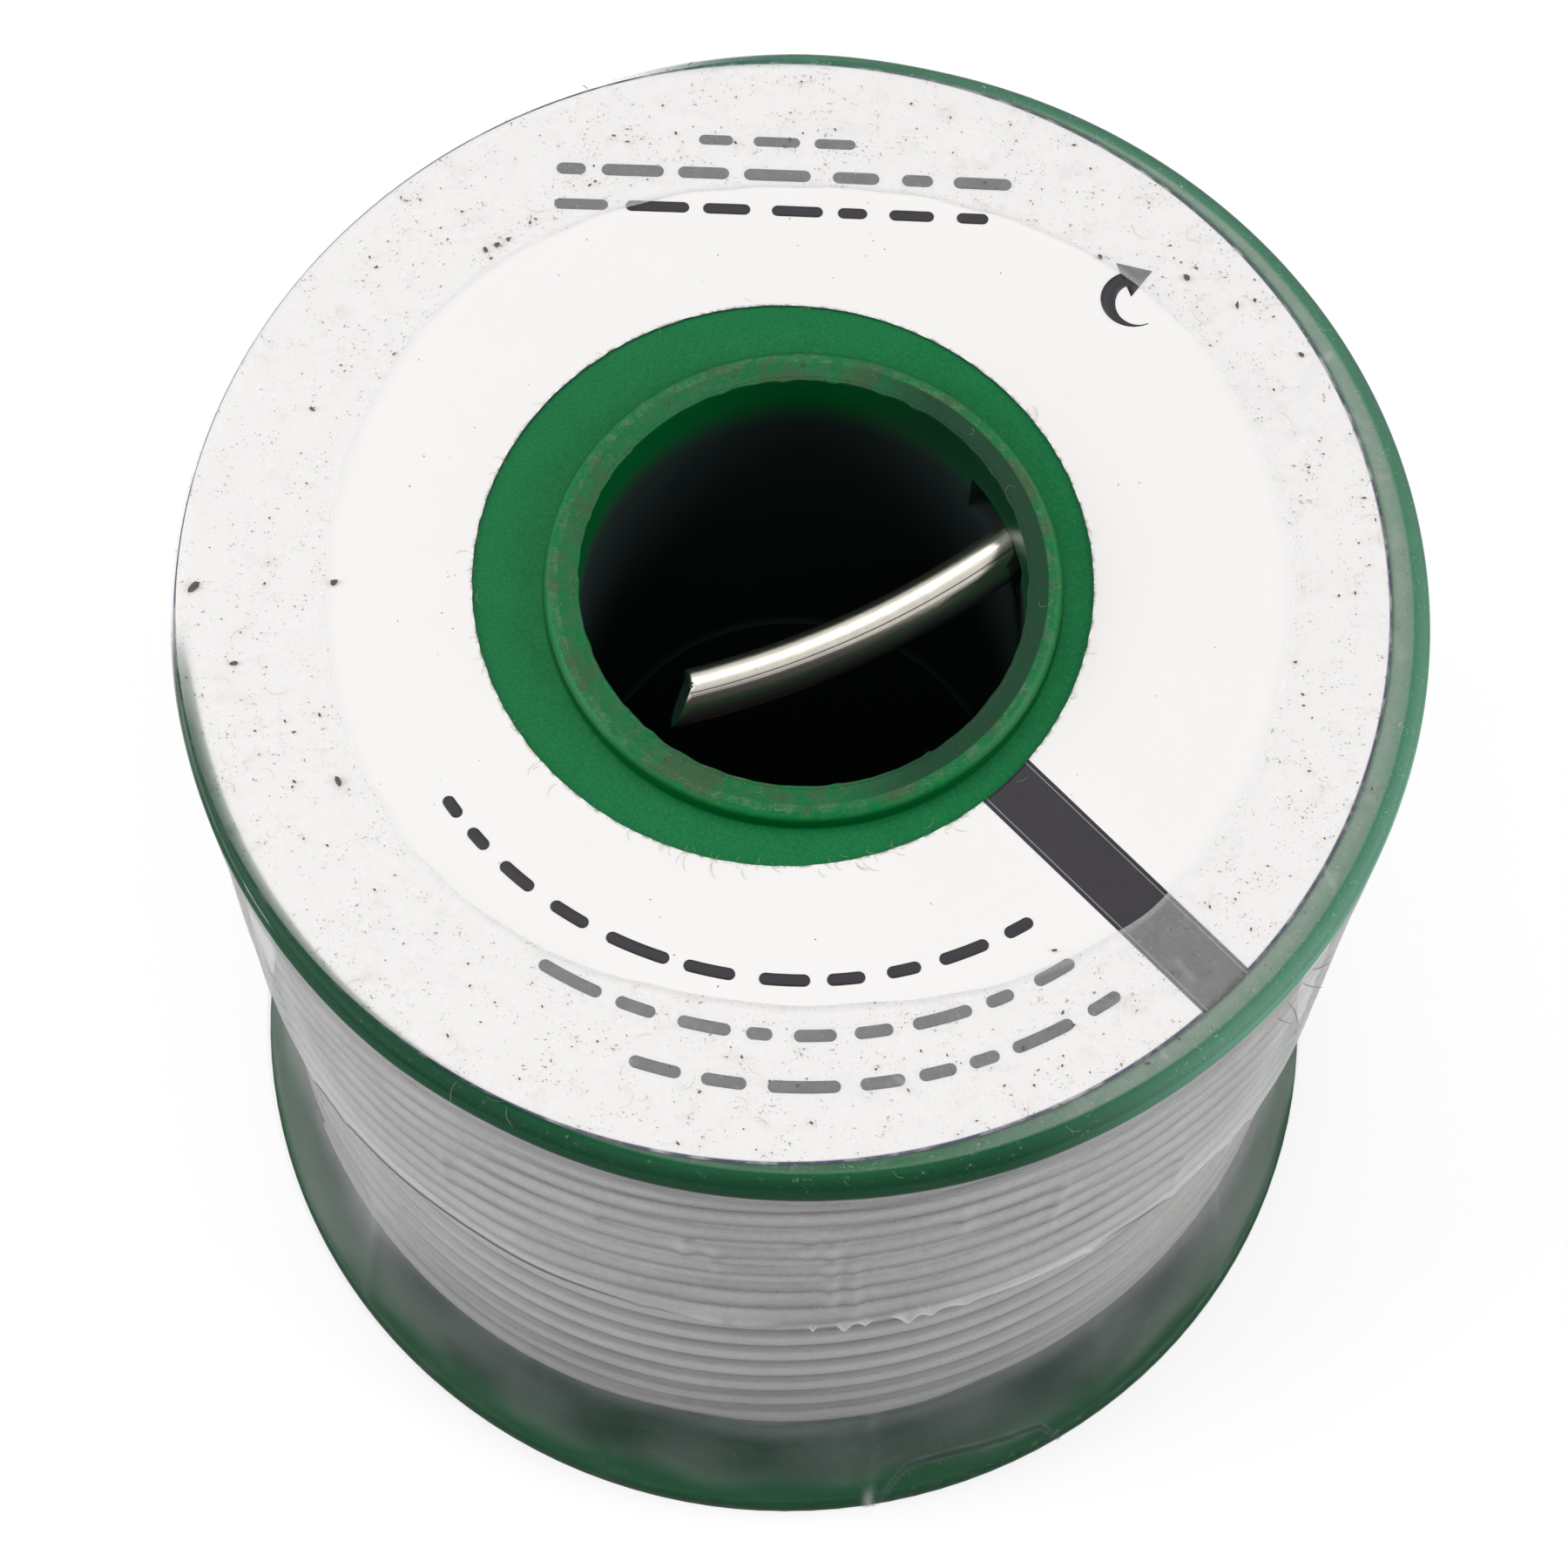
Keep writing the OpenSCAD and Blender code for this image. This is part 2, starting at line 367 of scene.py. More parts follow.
class Finish:
    """A material being put together."""

    def __init__(self, name):
        self.material = bpy.data.materials.new(name)
        self.tree = bare_tree(self.material)
        self.place = self.node("ShaderNodeTexCoord", output="Object")
        self.x = self.node("ShaderNodeSeparateXYZ", {0: self.place})
        self.y = self.x.beside(1)
        self.z = self.x.beside(2)
        self.radius = (self.x * self.x + self.y * self.y) ** 0.5

    def node(self, kind, inputs=None, output=0, **settings):
        return make_node(self.tree, kind, inputs, output, **settings)

    def value(self, name):
        """A number that the mesh holds at each point."""
        return self.node("ShaderNodeAttribute", output="Fac", attribute_name=name)

    def off_height(self, middle):
        """How far a place is above or below a height."""
        return (self.z - middle).sum("ABSOLUTE")

    def noise(self, size, detail=3, roughness=0.55, at=None):
        """Soft noise whose lumps are about size across."""
        inputs = {"Vector": at or self.place, "Scale": 1 / size, "Detail": detail,
                  "Roughness": roughness}
        return self.node("ShaderNodeTexNoise", inputs)

    def mix(self, amount, a, b):
        return self.node("ShaderNodeMix", {0: amount, 6: a, 7: b}, 2, data_type="RGBA")

    def layers(self, tone, *covers):
        """A tone with others laid over it in turn, each as (how much it covers, tone)."""
        for amount, over in covers:
            tone = self.mix(amount, tone, over)
        return tone

    def relief(self, height, depth, strength=1.0):
        """A normal bent by a height from 0 to 1 that stands depth high."""
        inputs = {"Height": height, "Distance": depth, "Strength": strength}
        return self.node("ShaderNodeBump", inputs)

    def surface(self, **inputs):
        """Ends the material with one Principled shader. Input names use _ for a space."""
        named = {name.replace("_", " "): value for name, value in inputs.items()}
        shader = self.node("ShaderNodeBsdfPrincipled", named)
        self.node("ShaderNodeOutputMaterial", {"Surface": shader})
        return self.material


# ---------------------------------------------------------------- finishes
def moulded_green():
    """Green moulded plastic: dusty on the hub rings. Painted shade makes it near black down
    the bore, where the wire behind the wall stops the light, and darkens the flanges' inner
    sides, the rims' outer edges, the rims towards the front and the hub rings' sides; a
    painted highlight runs along the hub rings' edges."""
    f = Finish("moulded_green_plastic")
    lumps = f.noise(1.6 * MM, 4)
    grain = f.noise(0.12 * MM, 2)
    # The flanges, scuffed at the rim, with painted shade on the rim towards the front and on its
    # outer edge
    at_rim = f.radius.step(LABEL_R - 1.6 * MM, LABEL_R - 1.2 * MM)
    at_front = f.y.step(-6 * MM, -24 * MM) * 0.75 + 0.15
    front_rim_shade = f.mix(f.noise(0.25 * MM, 5, 0.8), rgb(2, 70, 36), rgb(26, 112, 66))
    scuffs = f.noise(0.10 * MM, 3, 0.6).step(0.66, 0.71) * at_rim
    # Painted shade on the rims' outer edges and sides
    rim_edge_shade = f.radius.step(RIM_C - 0.1 * MM, RIM_C + 0.15 * MM)
    flange = f.layers(
        f.mix(lumps, rgb(8, 102, 54), rgb(20, 114, 64)),
        (grain.step(0.45, 0.75) * 0.35, rgb(44, 132, 80)),
        (grain.step(0.50, 0.25) * 0.35, rgb(4, 82, 42)),
        (at_rim * at_front, front_rim_shade),
        (scuffs * 0.5, rgb(150, 160, 110)),
        (rim_edge_shade * 0.85, rgb(2, 58, 30)))
    # The hub rings, dusty on their end faces, with painted shade on their sides and a painted
    # highlight along their outer edges
    middle = f.off_height(MID_Z)
    on_ring = f.radius.step(BARREL_R + 0.12 * MM, BARREL_R + 0.02 * MM)
    ring_top = middle.step(MID_Z - 0.30 * MM, MID_Z - 0.04 * MM) * on_ring
    # The hub rings' outer edge, which gets a painted highlight
    ring_edge_highlight = ring_top * f.radius.step(BARREL_R - 0.30 * MM, BARREL_R - 0.20 * MM)
    patches = f.noise(0.9 * MM, 6, 0.85).step(0.46, 0.60)
    dirty_side = f.noise(3.5 * MM, 5, 0.75).step(0.50, 0.60)
    specks = f.noise(0.28 * MM, 4, 0.8).step(0.55, 0.66) * (patches * 0.7 + 0.3)
    motes = f.noise(0.09 * MM, 2, 0.5).step(0.64, 0.69) * (patches * 0.8 + 0.2)
    dust = ring_top * (patches * 0.42 + 0.03) * (1 - ring_edge_highlight * 0.8)
    ring = f.layers(
        flange,
        # Painted shade on the hub rings' sides
        (on_ring * (1 - ring_top) * 0.9, rgb(0, 84, 34)),
        (dust, rgb(108, 128, 108)),
        (ring_top * dirty_side * 0.55, rgb(78, 78, 62)),
        (ring_top * specks * 0.75, rgb(34, 46, 36)),
        (ring_top * motes * 0.6, rgb(168, 166, 120)),
        (ring_edge_highlight * 0.5, rgb(14, 138, 70)))
    # The bore, lit near its mouths, darker by the wire's hole, with painted shade near black deep
    # down, and painted shade on the flanges' inner sides, darkest inside the rims
    in_bore = f.radius.step(BORE_R + 0.9 * MM, BORE_R + 0.8 * MM)
    deep = in_bore * middle.step(MID_Z - 1.4 * MM, MID_Z - 4.6 * MM)
    near_mouth = in_bore * (1 - deep)
    by_hole = near_mouth * f.x.step(1 * MM, 6 * MM)
    inner_side = middle.step(UPPER_Z - MID_Z + 0.12 * MM, UPPER_Z - MID_Z) * (1 - in_bore)
    shaded = inner_side * f.radius.step(RIM_C - 0.4 * MM, RIM_C - 1.8 * MM)
    tone = f.layers(
        ring,
        (near_mouth * (patches * 0.3 + 0.25), rgb(2, 84, 42)),
        (by_hole * 0.75, rgb(24, 46, 36)),
        # Painted shade: near black deep in the bore, then on the flanges' inner sides
        (deep * 0.97, rgb(36, 44, 46)),
        (inner_side * 0.9, rgb(6, 74, 42)),
        (shaded * 0.85, rgb(2, 50, 36)))
    height = grain * 0.35 + lumps * 0.65 + dust * 0.8
    return f.surface(
        Base_Color=tone, Roughness=dust * 0.35 + 0.34 + deep * 0.3,
        Specular_IOR_Level=0.11, Normal=f.relief(height, 0.012 * MM, 0.6))


def drawn_solder():
    """Bright soft metal with fine marks drawn along the wire."""
    f = Finish("drawn_solder_wire")
    around = f.value("around")
    along = f.value("along")
    marks_at = f.node("ShaderNodeCombineXYZ", {0: around * 9, 1: along * 35, 2: 0})
    marks = f.noise(1, 4, 0.6, marks_at)
    dull = f.noise(0.9 * MM, 4, 0.6)
    pits = f.noise(0.10 * MM, 2, 0.7).step(0.62, 0.72)
    tone = f.mix(dull, rgb(222, 216, 204), rgb(192, 187, 176))
    worn = f.mix(pits * 0.35, tone, rgb(90, 88, 82))
    draw_line = (around - DRAW_LINE_A * AROUND_SCALE).sum("ABSOLUTE")
    line = draw_line.step(2.0 * AROUND_SCALE, 0.8 * AROUND_SCALE)
    worn = f.mix(line * 0.85, worn, rgb(58, 48, 66))
    return f.surface(
        Base_Color=worn, Metallic=0.97, Roughness=marks * 0.10 + dull * 0.06 + 0.08,
        Normal=f.relief(marks, 0.012 * MM, 0.7))


def cut_solder():
    """The sheared end of the wire, dull and smeared, its dark green a painted reflection of the
    bore's green wall.
    """
    f = Finish("cut_solder_end")
    smear = f.noise(0.25 * MM, 4, 0.7)
    # Painted reflection of the bore's green wall
    tone = f.mix(smear, rgb(30, 72, 58), rgb(44, 84, 70))
    return f.surface(Base_Color=tone, Metallic=0.3, Roughness=smear * 0.2 + 0.35,
                     Normal=f.relief(smear, 0.02 * MM))


def wound_solder():
    """The same metal in the winding, duller from handling and flux, with painted shade low
    down and between turns."""
    f = Finish("wound_solder_wire")
    dull = f.noise(1.4 * MM, 4, 0.6)
    outside = f.radius.step(COIL_R - 0.2 * MM, COIL_R - 0.1 * MM)
    groove_shade = f.radius.step(WOUND_R - 0.12 * MM, WOUND_R - 0.44 * MM) * outside
    tone = f.layers(
        f.mix(dull, rgb(222, 219, 214), rgb(200, 197, 193)),
        # Painted shade low down by the lower flange, then in the grooves between turns
        (f.z.step(22 * MM, 13 * MM) * 0.6, rgb(118, 122, 126)),
        (groove_shade * 0.9, rgb(42, 38, 56)))
    return f.surface(
        Base_Color=tone, Metallic=0.15, Roughness=dull * 0.18 + 0.34,
        Normal=f.relief(f.noise(0.15 * MM, 2), 0.01 * MM, 0.5))


def label_paper():
    """White coated paper, dirty along its hole's cut edge, with a dark blue line along its outer
    edge.
    """
    f = Finish("white_label_paper")
    worn = f.value("hole_edge") * f.noise(0.35 * MM, 4, 0.7).step(0.40, 0.62)
    line_strength = f.noise(1.6 * MM, 3).step(0.30, 0.55) * 0.4 + 0.6
    tone = f.layers(
        f.mix(f.noise(5 * MM, 3), rgb(246, 244, 242), rgb(243, 241, 240)),
        (worn * 0.75, rgb(96, 84, 72)),
        (f.value("outer_edge").step(0.1, 0.6) * line_strength, rgb(20, 20, 72)))
    return f.surface(
        Base_Color=tone, Roughness=0.62, Specular_IOR_Level=0.25,
        Normal=f.relief(f.noise(0.18 * MM, 3, 0.6), 0.01 * MM, 0.35))


def label_edge():
    """The cut side of the label, mottled dark grey-blue."""
    f = Finish("label_cut_edge")
    grime = f.noise(0.5 * MM, 4, 0.7)
    tone = f.mix(grime, rgb(52, 54, 70), rgb(96, 98, 108))
    return f.surface(Base_Color=tone, Roughness=0.7, Normal=f.relief(grime, 0.01 * MM))


def printed_ink(name, colour, worn_colour):
    """Ink that sits on the label, with tiny gaps in it."""
    f = Finish(name)
    gaps = f.noise(0.09 * MM, 3, 0.8).step(0.63, 0.74)
    cloud = f.noise(1.2 * MM, 3)
    tone = f.mix(cloud, colour, worn_colour)
    thin = f.mix(gaps * 0.3, tone, rgb(150, 146, 148))
    return f.surface(Base_Color=thin, Roughness=0.46, Specular_IOR_Level=0.3,
                     Normal=f.relief(cloud, 0.004 * MM, 0.4))


def shrink_film():
    """Clear film gone milky with handling. The sheet says how milky it is at each place,
    how dirty, where the rim's green or a dark line shows through, with the dark line also
    giving painted shade along the skirt's edge, and where painted shade falls between the
    turns of the wire beneath."""
    f = Finish("milky_shrink_film")
    grime, line, green = f.value("grime"), f.value("line"), f.value("green")
    cloud = f.noise(2.6 * MM, 5, 0.65)
    fine = f.noise(0.22 * MM, 3, 0.7)
    mottle = f.noise(0.5 * MM, 5, 0.75)
    specks = f.noise(0.15 * MM, 2, 0.5).step(0.655, 0.70)
    dots = specks * f.noise(1.1 * MM, 3, 0.6).step(0.44, 0.62) * grime
    smear = f.noise(1.5 * MM, 5, 0.75).step(0.52, 0.76) * grime
    rubs = f.noise(0.3 * MM, 5, 0.8).step(0.58, 0.72) * f.noise(1.4 * MM, 3, 0.6).step(0.4, 0.6)
    rubs = rubs * f.value("rubbed")
    # The line's and the rim's tones take over where their cover only begins, so that no
    # pale fringe shows round them
    tone = f.layers(
        f.mix(smear * 0.4, rgb(245, 245, 246), rgb(196, 192, 184)),
        # Painted shade between the turns of the wire beneath
        (f.value("trough_shade") * 0.75, rgb(118, 114, 134)),
        (dots, rgb(92, 84, 74)),
        # The dark line, which also paints shade along the skirt's edge
        (line.step(0, 0.35) * 0.88, rgb(36, 44, 54)),
        (green.step(0, 0.12), f.mix(f.value("frosted"), rgb(10, 84, 52), rgb(116, 176, 148))),
        (rubs * (0.9 - green * 0.7), rgb(190, 206, 196)))
    alpha = f.value("milk") * (cloud * 0.4 + mottle * 0.6 + 0.5) + dots * 0.65 + smear * 0.08
    alpha = alpha + line * 0.45 + green * 0.9 + rubs * 0.22
    return f.surface(
        Base_Color=tone, Roughness=fine * 0.25 + 0.22 + green * 0.5, Alpha=alpha,
        Specular_IOR_Level=0.5,
        Normal=f.relief(fine * 0.4 + cloud * 0.6, 0.02 * MM, 0.5))


def grime_finish(name, dark, light):
    """Dull, mottled dirt or fibre."""
    f = Finish(name)
    tone = f.mix(f.noise(0.1 * MM, 4, 0.7), dark, light)
    return f.surface(Base_Color=tone, Roughness=0.85,
                     Normal=f.relief(f.noise(0.05 * MM), 0.01 * MM))


# ---------------------------------------------------------------- camera
CAMERA_AT = (-0.507 * MM, -93.21 * MM, 248.92 * MM)
CAMERA_RISE = 66.66
CAMERA_ROLL = 2.24
SENSOR_W = 36
LENS = 111.4


def place_camera():
    """A camera that looks down at the spool from the front, turned by a slight roll."""
    rise, roll = math.radians(CAMERA_RISE), math.radians(CAMERA_ROLL)
    back = Vector((0, -math.cos(rise), math.sin(rise)))
    level = Vector((1, 0, 0))
    upright = back.cross(level)
    right = math.cos(roll) * level + math.sin(roll) * upright
    up = -math.sin(roll) * level + math.cos(roll) * upright
    turn = Matrix((right, up, back)).transposed().to_4x4()
    data = bpy.data.cameras.new("camera")
    data.sensor_width = SENSOR_W
    data.lens = LENS
    data.clip_start = 5 * MM
    data.clip_end = 10
    camera = bpy.data.objects.new("camera", data)
    bpy.context.scene.collection.objects.link(camera)
    camera.matrix_world = Matrix.Translation(CAMERA_AT) @ turn
    bpy.context.scene.camera = camera


# ---------------------------------------------------------------- spool
def mouth_flash(finish):
    """Ragged moulding flash round the bore's upper mouth."""
    count, thick = 540, 0.05 * MM
    draw = random.Random(SEED)
    angle = np.arange(count) * 360 / count
    reach = 0.05 + 0.014 * uneven(angle, 0, SEED, 12, (9, 60), (0, 0))
    for _ in range(20):
        reach += draw.uniform(0.01, 0.07) * bump(turned(angle, draw.uniform(0, 360)), 0,
                                                 draw.uniform(0.6, 2.2))
    for far_burr in (62, 71, 84, 97):
        reach += 0.10 * bump(turned(angle, far_burr), 0, 1.8)
    lift = (0.02 + 0.02 * np.abs(uneven(angle, 0, SEED + 1, 10, (11, 50), (0, 0)))) * MM
    top = SPOOL_H - 0.01 * MM + lift
    radii = (BORE_R + 0.12 * MM, BORE_R + 0.01 * MM, BORE_R - np.clip(reach, 0.01, 0.24) * MM)
    heights = (SPOOL_H, top, top - 0.02 * MM)
    under = (SPOOL_H - thick, top - thick, top - thick)
    outer = np.stack([round_axis(r, angle, z) for r, z in zip(radii, heights)])
    inner = np.stack([round_axis(r, angle, z) for r, z in zip(radii, under)])
    points, faces = closed_sheet(outer, inner, True)
    return new_piece("bore_mouth_flash", points, faces, [finish])


# ---------------------------------------------------------------- wire
def climb(a):
    """Turns that the outer layer has climbed by an angle."""
    turn = np.floor((a - CROSS_A) / 360 + 0.5)
    t = np.clip((a - CROSS_A - 360 * turn) / CROSS_SPAN + 0.5, 0, 1)
    return turn + t * t * (3 - 2 * t)


def outer_layer(finish):
    """The outer layer of turns as one round wire, lying a little unevenly."""
    sides, per_turn = 20, 120
    count = round((COIL_STEPS - 1 + (LEAD_IN + RUN_OUT) / 360) * per_turn)
    a = CROSS_A - LEAD_IN + 360 * np.arange(count + 1) / per_turn
    z = COIL_Z + WIRE_PITCH * climb(a)
    z = z + 0.035 * MM * uneven(a, z, SEED + 2, 7, (2, 5), (0.02, 0.05))
    r = COIL_R + 0.02 * MM * uneven(a, z, SEED + 3, 7, (2, 7), (0.02, 0.06))
    section = round_axis(WIRE_R, np.arange(sides) / sides * 360, 0)[:, :2]
    stations = list(zip(round_axis(r, a, z), round_axis(1, a, 0), [UP] * len(a)))
    points, faces = swept(stations, lambda k: section)
    piece = new_piece("outer_wire_turns", points, faces, [finish])
    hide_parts("solder_layer_6")
    return piece


# The cut's face, in rings inwards: share of its width, and how far it stands out in mm.
# The first ring is the burr
CUT_RINGS = ((0.975, -0.03), (0.90, 0.02), (0.55, 0.05), (0.2, 0.07))
CUT_MIDDLE = 0.08 * MM


def wire_start(finish, cut_finish):
    """The wire's first end: a tight bend in the wall, a slight bow and a slanted cut."""
    sides, bow_steps, bend_steps = 48, 60, 24
    around = np.arange(sides) / sides * 360
    groove = DRAW_LINE_D * bump(turned(around, DRAW_LINE_A), 0, DRAW_LINE_W)
    section = round_axis(WIRE_R - groove, around, 0)[:, :2]
    bend_at = np.array((BEND_C, 0, 0))
    bow_at = bend_at + (BEND_R - BOW_R) * round_axis(1, -BEND_A, 0)
    bow_turn = math.degrees(BOW_L / BOW_R)
    arcs = [(bow_at, BOW_R, -BEND_A - bow_turn * (1 - i / bow_steps))
            for i in range(bow_steps + 1)]
    arcs += [(bend_at, BEND_R, -BEND_A * (1 - i / bend_steps))
             for i in range(1, bend_steps + 1)]
    turn = Matrix.Rotation(math.radians(JOIN_A), 3, "Z")
    stations = []
    for centre, r, a in arcs:
        side = round_axis(1, a, 0)
        middle = np.array(turn @ Vector(centre + side * r)) + UP * FIRST_Z
        stations.append((middle, np.array(turn @ Vector(side)), UP))
    points, faces = swept(stations, lambda k: section, ends=False)
    body = len(points)
    # The cut: its underside reaches furthest
    forward = -np.cross(stations[0][1], UP)
    slant = (points[:sides, 2] - FIRST_Z) * math.tan(math.radians(CUT_A))
    slant = slant - section[:, 0] * math.tan(math.radians(CUT_YAW))
    points[:sides] += np.outer(slant, forward)
    level = points[:sides]
    middle = level.mean(0)
    rings = [middle + (level - middle) * share + forward * sink * MM
             for share, sink in CUT_RINGS]
    points = np.concatenate([points] + rings + [middle[None] + forward * CUT_MIDDLE])
    starts = [0] + [body + i * sides for i in range(len(rings))]
    cut_faces = []
    for low, high in zip(starts, starts[1:]):
        for j in range(sides):
            k = (j + 1) % sides
            cut_faces.append((low + j, high + j, high + k, low + k))
    for j in range(sides):
        cut_faces.append((starts[-1] + j, len(points) - 1, starts[-1] + (j + 1) % sides))
    end_face = tuple(range(body - sides, body))
    # The burr's faces keep the wire's own finish
    which = [0] * (len(faces) + sides) + [1] * (len(cut_faces) - sides) + [0]
    piece = new_piece("wire_start", points, faces + cut_faces + [end_face],
                      [finish, cut_finish], which)
    steps = np.diff([middle for middle, _, _ in stations], axis=0)
    along = np.concatenate([[0], np.cumsum(np.linalg.norm(steps, axis=1))])
    rest = np.zeros(len(points) - body)
    scaled = np.tile(around, len(stations)) * AROUND_SCALE
    add_value(piece, "around", np.concatenate([scaled, rest]))
    add_value(piece, "along", np.concatenate([np.repeat(along, sides), rest]))
    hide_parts("solder_tail")
    return piece


# ---------------------------------------------------------------- labels
def label_point(x, y, lift, upper=True):
    """A place on a label, lift above the flange. x and y are measured along the paper."""
    reach = np.hypot(x, y)
    r, h = laid_down(reach, lift)
    z = UPPER_Z + h if upper else INNER_Z - h
    return np.stack([x * r / reach, y * r / reach, z + 0 * x], -1)


def label_reach(a):
    """How far out the label's edge lies at an angle, measured along the paper."""
    return LABEL_R - LABEL_LEFT * np.cos(np.radians(a)) + LABEL_BACK * np.sin(np.radians(a))


def label_ring(name, node, paper, cut_edge, upper):
    """A paper ring, a little off centre, pressed down round the rim at its left edge."""
    cols, rows = 720, 60
    a = np.radians(np.arange(cols) * 360 / cols)
    nick = 0.010 * MM * uneven(np.degrees(a), 0, SEED + 4, 14, (20, 120), (0, 0))
    hole = LABEL_HOLE_R + nick
    t = (0.5 - 0.5 * np.cos(np.linspace(0, math.pi, rows)))[:, None]
    x = ((1 - t) * hole + t * LABEL_R) * np.cos(a) - LABEL_LEFT
    y = ((1 - t) * hole + t * LABEL_R) * np.sin(a) + (1 - t) * HOLE_BACK + t * LABEL_BACK
    wave = 0.006 * MM * uneven(np.degrees(a)[None, :], np.hypot(x, y), SEED + 5)
    outer = label_point(x, y, LABEL_GAP + LABEL_T + wave * np.sin(t * math.pi), upper)
    inner = label_point(x, y, LABEL_GAP + wave * 0, upper)
    if not upper:
        outer, inner = inner, outer
    points, faces = closed_sheet(outer[:, ::-1], inner[:, ::-1], True)
    sheet_faces = 2 * (rows - 1) * cols
    which = [0] * sheet_faces + [1] * (len(faces) - sheet_faces)
    piece = new_piece(name, points, faces, [paper, cut_edge], which)
    for value, place, width in (("hole_edge", 0, 0.006), ("outer_edge", 1, 0.009)):
        near = bump(t, place, width) + 0 * x
        add_value(piece, value, np.concatenate([near[:, ::-1].ravel()] * 2))
    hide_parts(node)
    return piece


def print_patch(x, y):
    """Points and faces of a thin patch of ink on the upper label, from a grid of places."""
    lift = LABEL_GAP + LABEL_T + 0.008 * MM
    outer, inner = label_point(x, y, lift + INK_T), label_point(x, y, lift - INK_T)
    return closed_sheet(outer, inner, False)


BAR_FROM = (9.2 * MM, -8.95 * MM)
BAR_TO = (18.9 * MM, -18.25 * MM)
BAR_W = 2.85 * MM
KEYLINE_AT = 0.42
KEYLINE_W = 0.018


def printed_bar(ink, keyline):
    """The dark bar from the label's hole to its edge, with a fine pale line inside each
    long side."""
    steps = 60
    start, end = np.array(BAR_FROM), np.array(BAR_TO)
    way = (end - start) / np.linalg.norm(end - start)
    side = np.array((-way[1], way[0]))
    across = [-0.5, -KEYLINE_AT - KEYLINE_W, -KEYLINE_AT, -0.2, 0, 0.2, KEYLINE_AT,
              KEYLINE_AT + KEYLINE_W, 0.5]
    rows = []
    for share in across:
        line = start + side * share * BAR_W
        # To the hole's edge at one end and the label's edge at the other
        low = last_inside(line, way, (-LABEL_LEFT, HOLE_BACK), LABEL_HOLE_R)
        high = last_inside(line, way, (-LABEL_LEFT, LABEL_BACK), LABEL_R)
        rows.append(line + np.linspace(low, high, steps + 1)[:, None] * way)
    grid = np.array(rows)
    points, faces = print_patch(grid[..., 0], grid[..., 1])
    which = []
    for width in np.diff(across):
        which += [int(width < 2 * KEYLINE_W)] * 2 * steps
    which += [0] * (len(faces) - len(which))
    return new_piece("label_printed_bar", points, faces, [ink, keyline], which)


def last_inside(start, way, centre, radius):
    """How far along a line, from start, it leaves a circle."""
    off = start - np.array(centre)
    b = float(off @ way)
    c = float(off @ off) - radius ** 2
    return -b + math.sqrt(b * b - c)


# Plain dashes where the real label has lines of print: (first, last) across, then the
# line's place, the height of its dashes and their lengths' range
STRAIGHT_LINES = (((-5.6, 2.6), 22.95, 0.52, (0.9, 2.2)),
                  ((-12.1, 8.9), 21.15, 0.62, (1.3, 3.4)),
                  ((-12.1, 9.0), 19.25, 0.56, (1.2, 3.0)))
CURVED_LINES = (((-145, -55), 18.55, 0.56, (1.1, 3.2)),
                ((-120.5, -54.5), 21.05, 0.56, (1.1, 3.2)),
                ((-106.5, -52.5), 23.35, 0.56, (1.1, 3.2)))
DASH_GAP = 0.75


def dash_grid(length, height):
    """Places over one dash with round ends: along it, and across it as rows."""
    half = height / 2
    turn = math.pi / 2 * np.arange(7) / 6
    end = half * (1 - np.cos(turn))
    middle = np.linspace(half, length - half, 9)[1:-1]
    along = np.concatenate([end, middle, length - end[::-1]])
    widths = np.maximum(np.sin(turn), 0.05)
    widths = np.concatenate([widths, np.ones(len(middle)), widths[::-1]])
    return along, np.outer((-1, -0.5, 0, 0.5, 1), widths) * half


def printed_dashes(ink):
    """Three straight lines of dashes at the back of the label and three curved ones at
    the front."""
    draw = random.Random(SEED + 6)
    parts = []

    def lay(span, height, lengths, to_place):
        """One line of dashes, where to_place gives the place of each of their points."""
        at = span[0]
        while at < span[1]:
            length = min(draw.uniform(*lengths), span[1] - at)
            if length > height * 1.4:
                along, across = dash_grid(length, height)
                x, y = to_place(at + along[None, :] + 0 * across, across)
                parts.append(print_patch(x * MM, y * MM))
            at += length + DASH_GAP * draw.uniform(0.7, 1.4)

    for span, row, height, lengths in STRAIGHT_LINES:
        lay(span, height, lengths, lambda u, v, row=row: (u, row + v))
    for span, ring, height, lengths in CURVED_LINES:
        degrees = 180 / math.pi / ring
        span = (span[0] / degrees, span[1] / degrees)

        def on_ring(u, v, ring=ring):
            return (ring + v) * np.cos(u / ring), (ring + v) * np.sin(u / ring)

        lay(span, height, lengths, on_ring)
    points, faces = joined(parts)
    return new_piece("label_printed_dashes", points, faces, [ink])


# The arrow, in mm: its tail is an arc round ARROW_AT, and its head starts a little back
# from the arc's end
ARROW_AT = np.array((14.65, 15.25))
ARROW_R = 1.25
ARROW_FROM, ARROW_TO = -62, 112
ARROW_W = 0.72
ARROW_HEAD = 1.3
ARROW_BACK = -0.08
ARROW_SPREAD = 0.72


